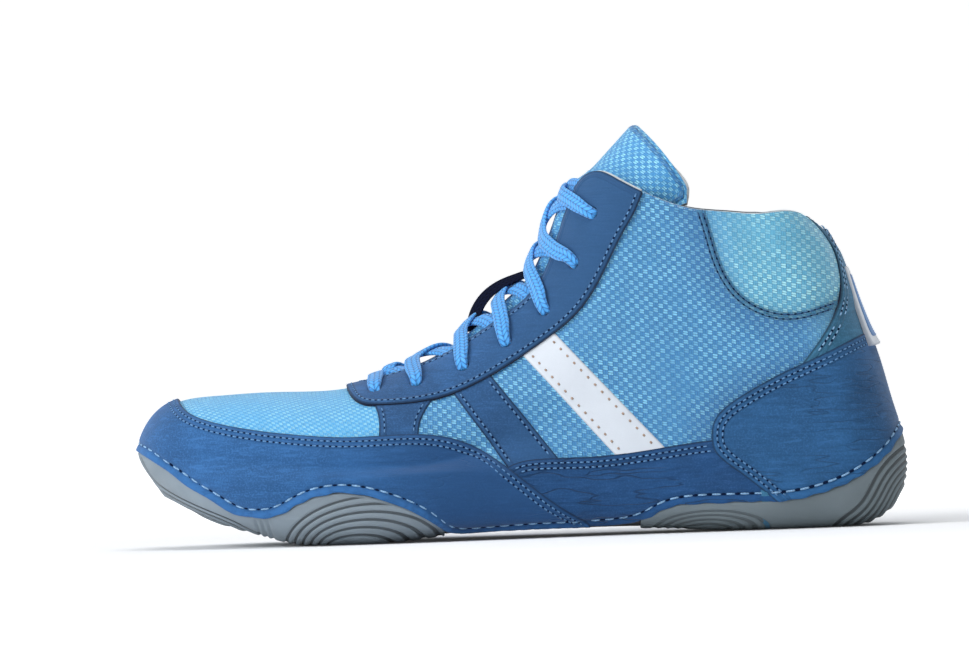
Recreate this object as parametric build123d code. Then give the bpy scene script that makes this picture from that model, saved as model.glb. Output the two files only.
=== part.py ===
from build123d import *
import math
import os

import numpy as np

# Boxing boot, left foot. Millimetres, +Z up, toe towards -X, heel towards +X,
# lateral (outer) side towards -Y. Origin on the ground under the middle of the boot.

# ---------------------------------------------------------------- layers, as depths under the last surface
LEATHER = (0.0, 1.2)
MESH = (1.3, 2.5)
STIFFENER = (2.6, 3.4)
LINING = (3.5, 4.3)
COLLAR_FOAM = (2.6, 7.0)
COLLAR_LINING = (7.1, 7.9)
TONGUE_FACE = (5.2, 6.0)
TONGUE_FOAM = (6.1, 9.0)
TONGUE_LINING = (9.1, 9.8)
OUTSOLE = (0.0, 2.5)
MIDSOLE_DEPTH = 2.6
SOCKLINER_DEPTH = 4.5

GAP = 0.2                 # clearance between two panels that meet edge to edge
SIDE_REACH = 80.0         # half width of the cutting prisms
BOARD_THICKNESS = 1.4
SOCKLINER_THICKNESS = 3.2
EYELET_RADIUS = 2.3
LACE_RADIUS = 1.2
LACE_UNDER = 3.85         # depth of the lace where it runs under an eyestay
LACE_OVER = -1.9          # depth of the lace where it lies on an eyestay
LOOP_WIDTH = 8.0
LOOP_THICKNESS = 1.3
FLAP_HINGE = (27.5, 134.5)
FLAP_LEAN = 46.0          # angle of the free tongue flap above the horizontal, degrees
FLAP_HALF_WIDTH = 26.5
FLAP_DEPTH = 31.0
FLAP_LENGTH = 30.0
FLAP_LIFT = 0.5           # the flap starts this far above the lower tongue
BADGE_FROM = 67.5
BADGE_TO = 97.5
BADGE_LOW_HALF = 17.0
BADGE_HIGH_HALF = 9.0
BADGE_BORDER = 2.5
ARCH_FROM = -29.5         # the thin arch plate runs between the ball pod and the heel pod
ARCH_TO = 44.5
VAMP_SEAM = -45.0         # the vamp and the quarters meet here, under the eyestay tabs

# ---------------------------------------------------------------- the last surface
# One row per station, from the toe round to above the collar. Each station is a plane across the
# boot through a bottom point and a top point: top x, top z, bottom x, bottom z; then the bottom
# cap's depth, half width and squareness, the top cap's depth and half width, and the centre line's
# sideways place at the bottom and at the top.
STATIONS = [
    (-139.5, 26.0, -135.0, 19.5, 3.0, 5.0, 2.0, 3.0, 5.0, 7.0, 7.0),
    (-144.3, 35.0, -127.0, 15.0, 9.0, 19.0, 2.6, 9.0, 15.0, 6.5, 7.0),
    (-143.2, 43.0, -119.0, 10.5, 16.0, 29.0, 3.0, 14.0, 24.0, 5.5, 7.0),
    (-137.5, 51.5, -110.0, 7.0, 20.0, 36.0, 3.4, 19.0, 31.0, 4.5, 6.0),
    (-127.5, 57.0, -100.0, 4.0, 23.0, 41.5, 3.7, 24.0, 37.0, 3.5, 5.0),
    (-112.0, 58.6, -88.0, 0.5, 25.0, 46.0, 4.0, 27.0, 41.5, 2.5, 3.5),
    (-96.0, 59.2, -76.0, -1.3, 26.0, 48.5, 4.0, 29.0, 44.0, 1.5, 2.0),
    (-80.0, 59.0, -64.0, -1.3, 26.0, 49.5, 4.0, 30.0, 45.5, 0.5, 1.0),
    (-64.0, 59.8, -51.0, -1.2, 26.0, 49.5, 4.0, 31.0, 45.0, -0.5, 0.5),
    (-48.0, 64.0, -37.0, 0.5, 25.0, 48.0, 3.9, 35.0, 42.0, -1.5, 0.0),
    (-32.0, 70.0, -21.0, 1.7, 24.0, 44.5, 3.8, 39.0, 38.0, -2.5, 0.0),
    (-18.0, 79.0, -3.0, 1.7, 23.0, 40.5, 3.7, 42.0, 34.5, -3.0, 0.0),
    (-6.0, 89.0, 22.0, 1.7, 23.0, 36.5, 3.6, 44.0, 32.0, -2.5, 0.0),
    (4.0, 98.0, 52.0, 1.2, 24.0, 34.5, 3.6, 43.0, 31.0, -2.0, 0.0),
    (9.5, 107.0, 85.0, -0.9, 27.0, 34.5, 3.6, 40.0, 31.0, -1.0, 0.0),
    (13.0, 115.0, 112.0, -1.3, 32.0, 34.5, 3.4, 37.0, 31.5, -0.5, 0.0),
    (15.5, 121.5, 131.0, 0.5, 36.0, 34.0, 3.0, 35.0, 32.0, 0.0, 0.0),
    (17.5, 126.5, 142.5, 9.0, 37.0, 33.5, 2.5, 34.0, 32.0, 0.0, 0.0),
    (19.0, 130.0, 146.5, 22.0, 37.0, 33.5, 2.3, 34.0, 32.5, 0.0, 0.0),
    (20.0, 133.0, 145.0, 34.0, 36.0, 33.0, 2.2, 33.0, 32.5, 0.0, 0.0),
    (21.5, 136.0, 141.0, 48.0, 35.0, 32.5, 2.2, 33.0, 32.5, 0.0, 0.0),
    (23.0, 139.0, 136.5, 65.0, 34.0, 32.0, 2.1, 33.0, 32.5, 0.0, 0.0),
    (24.5, 142.0, 130.0, 83.0, 33.0, 31.5, 2.1, 33.0, 32.5, 0.0, 0.0),
    (26.0, 145.0, 124.5, 100.0, 32.0, 31.5, 2.0, 33.0, 32.5, 0.0, 0.0),
    (27.5, 148.0, 118.0, 115.0, 31.0, 32.0, 2.0, 33.0, 32.5, 0.0, 0.0),
    (29.0, 151.0, 111.0, 127.0, 30.0, 32.5, 2.0, 33.0, 33.0, 0.0, 0.0),
]

# ---------------------------------------------------------------- side-view outlines, (x, z)
HEM = [
    (-152, 40), (-139, 34), (-127, 25), (-115, 17.5), (-107, 12.7), (-99, 11.3), (-91, 12.5),
    (-82.5, 17), (-70, 19.7), (-57, 18), (-43.5, 13), (-35, 8), (-29, 4), (-16, 3.2), (14, 3.6),
    (44.5, 4.8), (52.5, 8.2), (62, 10.5), (96.5, 10.7), (112.5, 13), (126, 18), (138.5, 27),
    (144, 34), (152, 45),
]
COLLAR = [
    (-30, 190), (8, 150), (19, 139.5), (25, 138.2), (34, 137.2), (40, 134.2), (52.5, 127.5), (67.5, 122),
    (82.5, 120), (94, 119), (108, 119), (116, 117), (150, 112),
]
RAND_TOP = [(-132, 66), (-128.5, 57), (-124, 51.5), (-105, 45.5), (-84, 42.3), (-63, 40.7), (-41.5, 41),
            (-26, 39), (-12, 32.5), (2.5, 21), (15, 11), (30, 1)]
ARCH_TOP = [(-5, 27.5), (3, 29.8), (27.5, 30), (54.5, 32.5), (71.5, 34.4)]
COUNTER_TOP = [(150, 79), (131.5, 72.5), (114.5, 65), (98, 58), (82, 49.5), (76.5, 45.5)]
COUNTER_NOSE = [(76.5, 45.5), (73.2, 41), (72.4, 36), (73.5, 30)]
COUNTER_FRONT = [(73.5, 30), (83.5, 21), (97.5, 9)]
BACKSTAY_FRONT = [(103, 124), (109.5, 119.5), (119, 108.5), (123, 94), (121.5, 82), (113.5, 69.5), (105, 59)]
EYESTAY_REAR = [
    (-67, 70), (-64, 58), (-59.5, 53.6), (-52, 52.5), (-31, 54), (-9, 62.5), (13, 76), (28, 90),
    (40.5, 112), (46, 121), (52, 135),
]
COLLAR_SEAM = [(66, 130), (71, 115.5), (75, 100.5), (84, 86), (99, 78.7), (112, 79.5), (125, 83), (150, 84)]
TAB_FRONT = ((-56, 57), (-52.8, 48), (-53.5, 36))
TAB_REAR = ((-37.5, 36), (-37, 46), (-30, 57))
SIDE_STRIPE = ((-28, 61), (-5, 28), (16, 28), (-13, 66))
WHITE_STRIPE = ((-2, 74), (37, 29), (57.7, 29), (9, 83))
MIDSOLE_TOP = [
    (-160, 46), (-138, 28), (-125, 21), (-110, 14.5), (-95, 10), (-80, 7.6), (-64, 6.8), (-45, 7.2),
    (-20, 8.6), (20, 9.4), (60, 10), (100, 10.6), (130, 12), (160, 16),
]
THROAT = [(-60, 0), (-57.5, 5), (-50, 8.3), (-40, 10), (-20, 13), (0, 15.5), (20, 15.8), (34, 19)]
TONGUE_REAR = [(-70, 70), (-66, 49), (-42, 50), (-10, 60), (15, 77), (34, 97), (48, 112)]
FLAP_SIDE = (
    (24, 131), (46.8, 154.3), (48.6, 155), (50.6, 153.7), (67.2, 130), (67.3, 126.5), (52, 100), (30, 100),
)
EYELETS = [(-54, 58), (-38, 60), (-20.5, 65.5), (-4, 74), (11, 85.5), (22.5, 103), (30.5, 121.5)]

os.makedirs("parts", exist_ok=True)


def spline_bends(t, y):
    """Second derivatives of the natural cubic spline through the points (t, y)."""
    h = np.diff(t)
    matrix = np.eye(len(t))
    right = np.zeros(y.shape)
    for i in range(1, len(t) - 1):
        matrix[i, i - 1:i + 2] = h[i - 1], 2 * (h[i - 1] + h[i]), h[i]
        right[i] = 6 * ((y[i + 1] - y[i]) / h[i] - (y[i] - y[i - 1]) / h[i - 1])
    return np.linalg.solve(matrix, right)


ROWS = np.array(STATIONS)
STEPS = np.hypot(*np.diff(ROWS[:, 0:2], axis=0).T) + np.hypot(*np.diff(ROWS[:, 2:4], axis=0).T)
KNOTS = np.concatenate([[0.0], np.cumsum(np.sqrt(STEPS))])
KNOTS = KNOTS / KNOTS[-1]
BENDS = spline_bends(KNOTS, ROWS)


def station(u):
    """The station row at u, 0 at the toe and 1 above the collar."""
    i = int(np.clip(np.searchsorted(KNOTS, u) - 1, 0, len(KNOTS) - 2))
    h = KNOTS[i + 1] - KNOTS[i]
    a = (KNOTS[i + 1] - u) / h
    b = (u - KNOTS[i]) / h
    bend = ((a ** 3 - a) * BENDS[i] + (b ** 3 - b) * BENDS[i + 1]) * h * h / 6
    return a * ROWS[i] + b * ROWS[i + 1] + bend


def half_section(u, count=24):
    """Height along the station's plane and half width there, from the bottom point to the top."""
    tx, tz, bx, bz, low, low_width, square, high, high_width, _, _ = station(u)
    height = math.hypot(tx - bx, tz - bz)
    turn = np.linspace(0, math.pi / 2, count)
    middle = np.linspace(0, 1, count)[1:-1]
    ease = middle * middle * (3 - 2 * middle)
    heights = [low * (1 - np.cos(turn) ** (2 / square)),
               low + (height - low - high) * middle,
               height - high * (1 - np.cos(turn[::-1]))]
    widths = [low_width * np.sin(turn) ** (2 / square),
              low_width + (high_width - low_width) * ease,
              high_width * np.sin(turn[::-1])]
    return height, np.concatenate(heights), np.concatenate(widths)


def last_point(u, v):
    """Point of the last surface; v runs 0 to 1 up the lateral side and 1 to 2 down the medial side."""
    tx, tz, bx, bz, *_, low_centre, high_centre = station(u)
    height, heights, widths = half_section(u)
    length = np.concatenate([[0.0], np.cumsum(np.hypot(np.diff(heights), np.diff(widths)))])
    length = length / length[-1]
    along = v if v <= 1 else 2 - v
    side = -1 if v <= 1 else 1
    if along < 0:
        along, side = -along, -side
    k = np.interp(along, length, heights) / height
    y = low_centre + (high_centre - low_centre) * k + side * np.interp(along, length, widths)
    return np.array([bx + (tx - bx) * k, y, bz + (tz - bz) * k])


def inward(u, v, step=0.001, turn=0.01):
    """Unit normal of the last surface, pointing into the boot."""
    along = last_point(min(u + step, 1), v) - last_point(max(u - step, 0), v)
    across = last_point(u, v + turn) - last_point(u, v - turn)
    normal = np.cross(across, along)
    return normal / np.linalg.norm(normal)


def at_depth(u, v, depth):
    """Point at a depth under the last surface."""
    return last_point(u, v) + depth * inward(u, v)


def locate(x, z):
    """The lateral u, v at which the last surface shows the side-view point (x, z)."""
    grid = np.linspace(0, 1, 201)
    for low, high in zip(grid[:-1], grid[1:]):
        if beside(low, x, z) * beside(high, x, z) < 0:
            u = halve(lambda t: beside(t, x, z), low, high)
            tx, tz, bx, bz = station(u)[:4]
            across = (tx - bx, tz - bz)
            if 0 <= (x - bx) * across[0] + (z - bz) * across[1] <= across[0] ** 2 + across[1] ** 2:
                v = halve(lambda t: (last_point(u, t)[0] - x) * across[0]
                          + (last_point(u, t)[2] - z) * across[1], 0, 1)
                return u, v
    raise ValueError("no such point on the last")


def beside(u, x, z):
    """Which side of the station's plane the point (x, z) is on."""
    tx, tz, bx, bz = station(u)[:4]
    return (tx - bx) * (z - bz) - (tz - bz) * (x - bx)


def halve(function, low, high):
    """Root of a function that changes sign between low and high."""
    first = function(low)
    for _ in range(40):
        middle = (low + high) / 2
        if function(middle) * first > 0:
            low = middle
        else:
            high = middle
    return (low + high) / 2


# ---------------------------------------------------------------- solids from the last surface
SECTION_POINTS = 15


def section_wire(u, depth):
    """Closed flat wire round the boot at one station, at a depth under the last surface."""
    turns = np.linspace(0, 2, 2 * SECTION_POINTS - 1)[:-1]
    points = [at_depth(u, v, depth) for v in turns]
    bottom, top = points[0], points[SECTION_POINTS - 1]
    across = (top - bottom) / np.linalg.norm(top - bottom)
    normal = np.array([-across[2], 0, across[0]])
    normal = normal / np.linalg.norm(normal)
    flat = [Vector(*(p - np.dot(p - bottom, normal) * normal)) for p in points]
    even = list(np.linspace(0, 1, SECTION_POINTS))
    lateral = Edge.make_spline(flat[:SECTION_POINTS], parameters=even)
    medial = Edge.make_spline(flat[SECTION_POINTS - 1:] + [flat[0]], parameters=even)
    return Wire([lateral, medial])


ENVELOPES = {}


def envelope(depth):
    """Solid inside the surface at a depth under the last surface."""
    if depth not in ENVELOPES:
        ENVELOPES[depth] = Solid.make_loft([section_wire(u, depth) for u in KNOTS])
    return ENVELOPES[depth]


def shell(layer):
    """Closed skin between a layer's two depths."""
    return envelope(layer[0]) - envelope(layer[1])


def straight_edges(points):
    """Lines between side-view points."""
    vectors = [Vector(x, 0, z) for x, z in points]
    return [Edge.make_line(a, b) for a, b in zip(vectors[:-1], vectors[1:])]


def prism(*runs):
    """Prism across the boot over a side-view outline, closed by straight lines.

    A run that is a list of points is a smooth curve, and one that is a tuple is a row of corners.
    """
    edges = []
    for run, following in zip(runs, runs[1:] + runs[:1]):
        if isinstance(run, list):
            edges.append(Edge.make_spline([Vector(x, 0, z) for x, z in run]))
        else:
            edges += straight_edges(run)
        if math.dist(run[-1], following[0]) > 1e-6:
            edges += straight_edges((run[-1], following[0]))
    face = Face(Wire(edges))
    return Solid.extrude(face.moved(Location((0, -SIDE_REACH, 0))), Vector(0, 2 * SIDE_REACH, 0))


def slab(x_from, x_to):
    """Everything between two upright planes across the boot."""
    return prism(((x_from, -20), (x_to, -20), (x_to, 200), (x_from, 200)))


def shifted(points, dx=0.0, dz=0.0):
    """A run moved in the side view."""
    return [(x + dx, z + dz) for x, z in points]


def biggest(shape):
    """The largest solid of a cut."""
    return max(shape.solids(), key=lambda solid: solid.volume)


def save(name, shape):
    """Write one node as one solid."""
    solid = biggest(shape)
    solid.label = name
    export_step(solid, f"parts/{name}.step")
    print(name, round(solid.volume), solid.is_valid, len(shape.solids()))


ABOVE_HEM = prism(shifted(HEM, dz=GAP), ((152, 200), (-152, 200)))
BELOW_HEM = prism(HEM, ((152, -20), (-152, -20)))
UNDER_COLLAR = prism(COLLAR, ((152, -20), (-160, -20), (-160, 190)))
ABOVE_BOARD = prism(shifted(MIDSOLE_TOP, dz=2 * GAP + BOARD_THICKNESS), ((160, 200), (-160, 200)))
LATERAL = Pos(0, -50 - GAP / 2, 60) * Box(400, 100, 300)
MEDIAL = Pos(0, 50 + GAP / 2, 60) * Box(400, 100, 300)
SIDES = {"lateral": LATERAL, "medial": MEDIAL}
SLOT = Solid.extrude(
    Face(Wire([
        Edge.make_spline([Vector(x, -y, 20) for x, y in THROAT]),
        Edge.make_line(Vector(34, -19, 20), Vector(34, 19, 20)),
        Edge.make_spline([Vector(x, y, 20) for x, y in reversed(THROAT)]),
    ])),
    Vector(0, 0, 150),
)
EYELET_PLACES = [locate(x, z) for x, z in EYELETS]


def eyelet_cutters(side):
    """Punches for one side's row of eyelets."""
    cutters = []
    for u, v in EYELET_PLACES:
        turn = v if side == "lateral" else 2 - v
        outside = Vector(*at_depth(u, turn, -2.0))
        inside = Vector(*at_depth(u, turn, 4.6))
        plane = Plane(origin=outside, z_dir=inside - outside)
        cutters.append(Solid.make_cylinder(EYELET_RADIUS, (inside - outside).length, plane))
    return cutters


def punched(shape, side):
    """The largest solid of a shape, with one side's eyelets punched through it."""
    solid = biggest(shape)
    for cutter in eyelet_cutters(side):
        solid = solid - cutter
    return solid


# ---------------------------------------------------------------- sole
def build_sole():
    """Split rubber outsole, thin arch plate, midsole, insole board and sockliner."""
    floor = Pos(0, 0, 100) * Box(400, 200, 200)
    cup = (shell(OUTSOLE) & BELOW_HEM) & floor
    save("outsole_forefoot", cup & slab(-160, ARCH_FROM))
    save("arch_sole", cup & slab(ARCH_FROM + GAP, ARCH_TO - GAP))
    save("outsole_heel", cup & slab(ARCH_TO, 160))
    save("midsole", envelope(MIDSOLE_DEPTH) & prism(MIDSOLE_TOP, ((160, -20), (-160, -20))))
    board = prism(shifted(MIDSOLE_TOP, dz=GAP), shifted(MIDSOLE_TOP[::-1], dz=GAP + BOARD_THICKNESS))
    save("insole_board", envelope(MIDSOLE_DEPTH) & board)
    rise = 2 * GAP + BOARD_THICKNESS
    liner = prism(shifted(MIDSOLE_TOP, dz=rise), shifted(MIDSOLE_TOP[::-1], dz=rise + SOCKLINER_THICKNESS))
    save("sockliner", envelope(SOCKLINER_DEPTH) & liner)


# ---------------------------------------------------------------- leather
def build_leather():
    """Nubuck overlays: toe rand, arch rands, heel counter, backstay, eyestays, tabs and stripes."""
    skin = (shell(LEATHER) & ABOVE_HEM) & UNDER_COLLAR
    save("toe_rand", skin & prism(RAND_TOP, ((30, -10), (-160, -10), (-160, 66))))
    save("heel_counter", skin & prism(COUNTER_TOP, COUNTER_NOSE, COUNTER_FRONT, ((97.5, -10), (160, -10))))
    beyond_rand = prism(shifted(RAND_TOP, dx=GAP, dz=GAP), ((30, -10), (170, -10), (170, 200), (-132, 200)))
    arch_cut = prism(ARCH_TOP, shifted(COUNTER_NOSE[2:], dx=-GAP), shifted(COUNTER_FRONT, dx=-GAP, dz=-GAP),
                     ((90, -10), (-6, -10)))
    arch = (skin & arch_cut) & beyond_rand
    above_counter = prism(shifted(COUNTER_TOP, dz=GAP), ((76, 150), (150, 150)))
    stay_cut = prism(BACKSTAY_FRONT, ((160, 50), (160, 130)))
    save("backstay", (skin & stay_cut) & above_counter)
    eyestay = (skin & prism(EYESTAY_REAR, ((52, 170), (-67, 170)))) - SLOT
    above_arch = prism(shifted(ARCH_TOP, dz=GAP), ((80, 36), (80, 120), (-40, 120), (-40, 27.7)))
    behind_eyestay = prism(shifted(EYESTAY_REAR, dx=GAP, dz=-GAP), ((60, -10), (-67, -10)))
    middle = (skin & beyond_rand) & behind_eyestay
    tab = middle & prism(TAB_FRONT, TAB_REAR)
    blue = (middle & prism(SIDE_STRIPE)) & above_arch
    white = (middle & prism(WHITE_STRIPE)) & above_arch
    for side, half in SIDES.items():
        save(f"arch_rand_{side}", arch & half)
        save(f"eyestay_{side}", punched(eyestay & half, side))
        save(f"eyestay_tab_{side}", tab & half)
        save(f"side_stripe_{side}", blue & half)
        save(f"white_stripe_{side}", white & half)


# ---------------------------------------------------------------- textile and padding
def build_textile():
    """Mesh vamp and quarters, linings, collar padding, toe puff and heel stiffener."""
    front = slab(-160, VAMP_SEAM - GAP)
    rear = slab(VAMP_SEAM, 160)
    raised = prism(shifted(HEM, dz=2.0), ((152, 200), (-152, 200)))
    mesh = ((shell(MESH) & raised) & UNDER_COLLAR) - SLOT
    save("vamp_mesh", punched(punched(mesh & front, "lateral"), "medial"))
    behind_stay = prism(shifted(EYESTAY_REAR[1:], dx=-3, dz=3),
                        ((49, 190), (160, 190), (160, -20), (-160, -20), (-160, 190), (-67, 190)))
    lining = (((shell(LINING) & raised) & UNDER_COLLAR) & ABOVE_BOARD) & behind_stay
    save("lining_vamp", lining & front)
    collar_cut = prism(COLLAR_SEAM, ((150, 150), (66, 150)))
    seam = shifted(COLLAR_SEAM, dx=-0.4, dz=-0.4)
    below_seam = prism(seam, ((150, -20), (-160, -20), (-160, 190), (65, 190)))
    lining_rear = (lining & rear) & below_seam
    for side, half in SIDES.items():
        save(f"quarter_mesh_{side}", punched((mesh & rear) & half, side))
        save(f"lining_quarter_{side}", lining_rear & half)
    save("collar_padding", (shell(COLLAR_FOAM) & collar_cut) & UNDER_COLLAR)
    save("collar_lining", (shell(COLLAR_LINING) & collar_cut) & UNDER_COLLAR)
    stiff = (shell(STIFFENER) & raised) & ABOVE_BOARD
    save("toe_puff", stiff & prism(((-160, 0), (-108, 0), (-116, 80), (-160, 80))))
    save("heel_stiffener", stiff & prism(((84, -10), (160, -10), (160, 76), (120, 64), (84, 46))))


# ---------------------------------------------------------------- tongue
def build_tongue():
    """Padded lower tongue under the laces, and the free flap above them as a moving body."""
    hinge = Vector(FLAP_HINGE[0], 0, FLAP_HINGE[1])
    lower_cut = prism(TONGUE_REAR, (FLAP_HINGE, (15, 148), (-70, 148)))
    for name, layer in (("face", TONGUE_FACE), ("foam", TONGUE_FOAM), ("lining", TONGUE_LINING)):
        save(f"tongue_{name}", shell(layer) & lower_cut)
    lean = math.radians(FLAP_LEAN)
    axis = Vector(math.cos(lean), 0, math.sin(lean))
    depth_way = Vector(math.sin(lean), 0, -math.cos(lean))
    plane = Plane(origin=hinge + FLAP_LIFT * axis + FLAP_DEPTH * depth_way, x_dir=Vector(0, 1, 0), z_dir=axis)
    keep = prism(FLAP_SIDE)
    for name, layer in (("face", TONGUE_FACE), ("foam", TONGUE_FOAM), ("lining", TONGUE_LINING)):
        rings = []
        for depth in layer:
            inset = depth - TONGUE_FACE[0]
            rings.append(Ellipse(FLAP_HALF_WIDTH - inset, FLAP_DEPTH - inset))
        band = rings[0] - rings[1]
        ridge_side = 1 if plane.to_local_coords(hinge).Y > 0 else -1
        band = band & (Pos(0, ridge_side * 50) * Rectangle(100, 100))
        save(f"flap_{name}", extrude(plane * band, amount=FLAP_LENGTH) & keep)


# ---------------------------------------------------------------- lace, loop and heel badge
def ridge_turn(u, y):
    """The v at which the upper surface at station u stands at the sideways place y."""
    low, high = (0.6, 1.0) if y < 0 else (1.0, 1.4)
    return halve(lambda v: last_point(u, v)[1] - y, low, high)


def throat_width(x):
    """Half width of the throat at x."""
    return float(np.interp(x, [p[0] for p in THROAT], [p[1] for p in THROAT]))


def strand(start_row, side, over):
    """Points from one eyelet over its eyestay's edge and under the other's, to the next eyelet."""
    u0, v0 = EYELET_PLACES[start_row]
    u1, v1 = EYELET_PLACES[start_row + 1]
    flip = (lambda v: v) if side < 0 else (lambda v: 2 - v)
    points = [at_depth(u0, flip(v0), LACE_OVER)]
    near_u = u0 + 0.22 * (u1 - u0)
    far_u = u0 + 0.78 * (u1 - u0)
    middle_u = (u0 + u1) / 2
    near_y = side * throat_width(last_point(near_u, 1)[0])
    far_y = -side * throat_width(last_point(far_u, 1)[0])
    points.append(at_depth(near_u, ridge_turn(near_u, near_y), LACE_OVER))
    points.append(at_depth(middle_u, ridge_turn(middle_u, side * 0.4), -0.45 if over else 2.35))
    points.append(at_depth(far_u, ridge_turn(far_u, far_y), LACE_UNDER - 0.4))
    points.append(at_depth(u1, 2 - flip(v1), LACE_UNDER))
    return points


def lace_half(side):
    """Lace from the middle of the first row up one strand of the criss-cross to its tucked end."""
    u0, v0 = EYELET_PLACES[0]
    u1, v1 = EYELET_PLACES[1]
    flip = (lambda v: v) if side < 0 else (lambda v: 2 - v)
    points = [at_depth(u0 + 0.002, ridge_turn(u0 + 0.002, side * 9.0), LACE_OVER)]
    points.append(at_depth(u0, flip(v0), LACE_OVER))
    points.append(at_depth(u0, flip(v0), LACE_UNDER))
    middle_u = (u0 + u1) / 2
    near_u = u0 + 0.3 * (u1 - u0)
    far_u = u0 + 0.7 * (u1 - u0)
    points.append(at_depth(near_u, ridge_turn(near_u, side * 9.5), LACE_UNDER - 0.2))
    points.append(at_depth(middle_u, ridge_turn(middle_u, side * 0.4), 0.0 if side < 0 else 2.8))
    points.append(at_depth(far_u, ridge_turn(far_u, -side * 10.0), LACE_UNDER - 0.2))
    points.append(at_depth(u1, 2 - flip(v1), LACE_UNDER))
    here = -side
    for row in range(1, len(EYELET_PLACES) - 1):
        points += strand(row, here, over=(row % 2 == 0) == (side < 0))
        here = -here
    u, v = EYELET_PLACES[-1]
    place = (lambda t: t) if here < 0 else (lambda t: 2 - t)
    points.append(at_depth(u, place(v), LACE_OVER))
    top_u = u + 0.03
    points.append(at_depth(top_u, ridge_turn(top_u, here * 15.5), LACE_OVER))
    return points


def build_lace():
    """One lace through all the eyelets."""
    first = lace_half(-1)
    second = lace_half(1)
    points = [Vector(*p) for p in first[::-1] + second]
    radii = []
    for before, point, after in zip(points[:-2], points[1:-1], points[2:]):
        turn = math.radians((point - before).get_angle(after - point))
        reach = 0.45 * min((point - before).length, (after - point).length)
        radii.append(min(reach / max(math.tan(turn / 2), 0.02), 40.0))
    print("lace radii", [round(r, 1) for r in radii])
    path = Wire(FilletPolyline(*points, radius=radii).edges())
    plane = Plane(origin=path @ 0, z_dir=path % 0)
    tube = Solid.sweep(Face(Wire.make_circle(LACE_RADIUS, plane)), path)
    print("lace", round(path.length), "tube volume", round(tube.volume),
          "expected", round(path.length * math.pi * LACE_RADIUS ** 2))
    save("shoelace", tube)


def build_trim():
    """Webbing loop on the tongue and the badge on the backstay."""
    arch = [(-19.5, 74.3), (-17.5, 84), (-12.5, 91.5), (-5, 95.8), (5.5, 99.5), (10.3, 95.8)]
    curve = Edge.make_spline([Vector(x, 0, z) for x, z in arch])
    start = Plane(origin=curve @ 0, x_dir=Vector(0, 1, 0), z_dir=curve % 0)
    strap = Solid.sweep(Face(start * Wire.make_rect(LOOP_WIDTH, LOOP_THICKNESS)), Wire([curve]))
    save("tongue_loop", strap)
    badge_skin = envelope(-1.0) - envelope(-GAP / 2)
    frame = badge_skin & badge_block(0)
    save("heel_badge_frame", frame - badge_block(BADGE_BORDER))
    save("heel_badge_inlay", frame & badge_block(BADGE_BORDER + GAP))


def badge_block(inset):
    """Block that cuts the badge out of a skin at the heel, smaller by an inset all round."""
    low, high = BADGE_FROM + inset, BADGE_TO - inset
    low_half, high_half = BADGE_LOW_HALF - inset, BADGE_HIGH_HALF - inset
    corners = [Vector(100, y, z) for y, z in
               ((-low_half, low), (low_half, low), (high_half, high), (-high_half, high))]
    return Solid.extrude(Face(Wire.make_polygon(corners)), Vector(60, 0, 0))


build_sole()
build_leather()
build_textile()
build_tongue()
build_trim()
build_lace()
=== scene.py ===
import math

import bpy
import numpy as np
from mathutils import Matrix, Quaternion, Vector


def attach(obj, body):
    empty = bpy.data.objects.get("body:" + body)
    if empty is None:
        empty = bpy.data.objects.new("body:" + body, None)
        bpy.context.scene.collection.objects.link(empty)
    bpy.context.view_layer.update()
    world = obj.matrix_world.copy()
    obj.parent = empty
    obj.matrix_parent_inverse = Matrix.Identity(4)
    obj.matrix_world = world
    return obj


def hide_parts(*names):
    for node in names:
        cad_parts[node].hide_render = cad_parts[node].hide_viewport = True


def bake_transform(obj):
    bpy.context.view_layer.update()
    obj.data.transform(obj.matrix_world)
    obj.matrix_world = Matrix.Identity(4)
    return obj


# Boxing boot. The shapes are worked out in millimetres in the CAD frame and written in metres:
# toe towards -X, lateral side towards -Y, ground at z = 0.
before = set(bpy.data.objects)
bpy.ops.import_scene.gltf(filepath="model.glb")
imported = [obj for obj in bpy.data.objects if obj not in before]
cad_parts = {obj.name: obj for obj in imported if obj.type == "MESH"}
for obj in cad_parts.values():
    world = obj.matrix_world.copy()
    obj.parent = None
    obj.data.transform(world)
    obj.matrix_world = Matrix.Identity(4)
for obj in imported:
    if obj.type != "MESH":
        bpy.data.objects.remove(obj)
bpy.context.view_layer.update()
MM = 0.001

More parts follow.
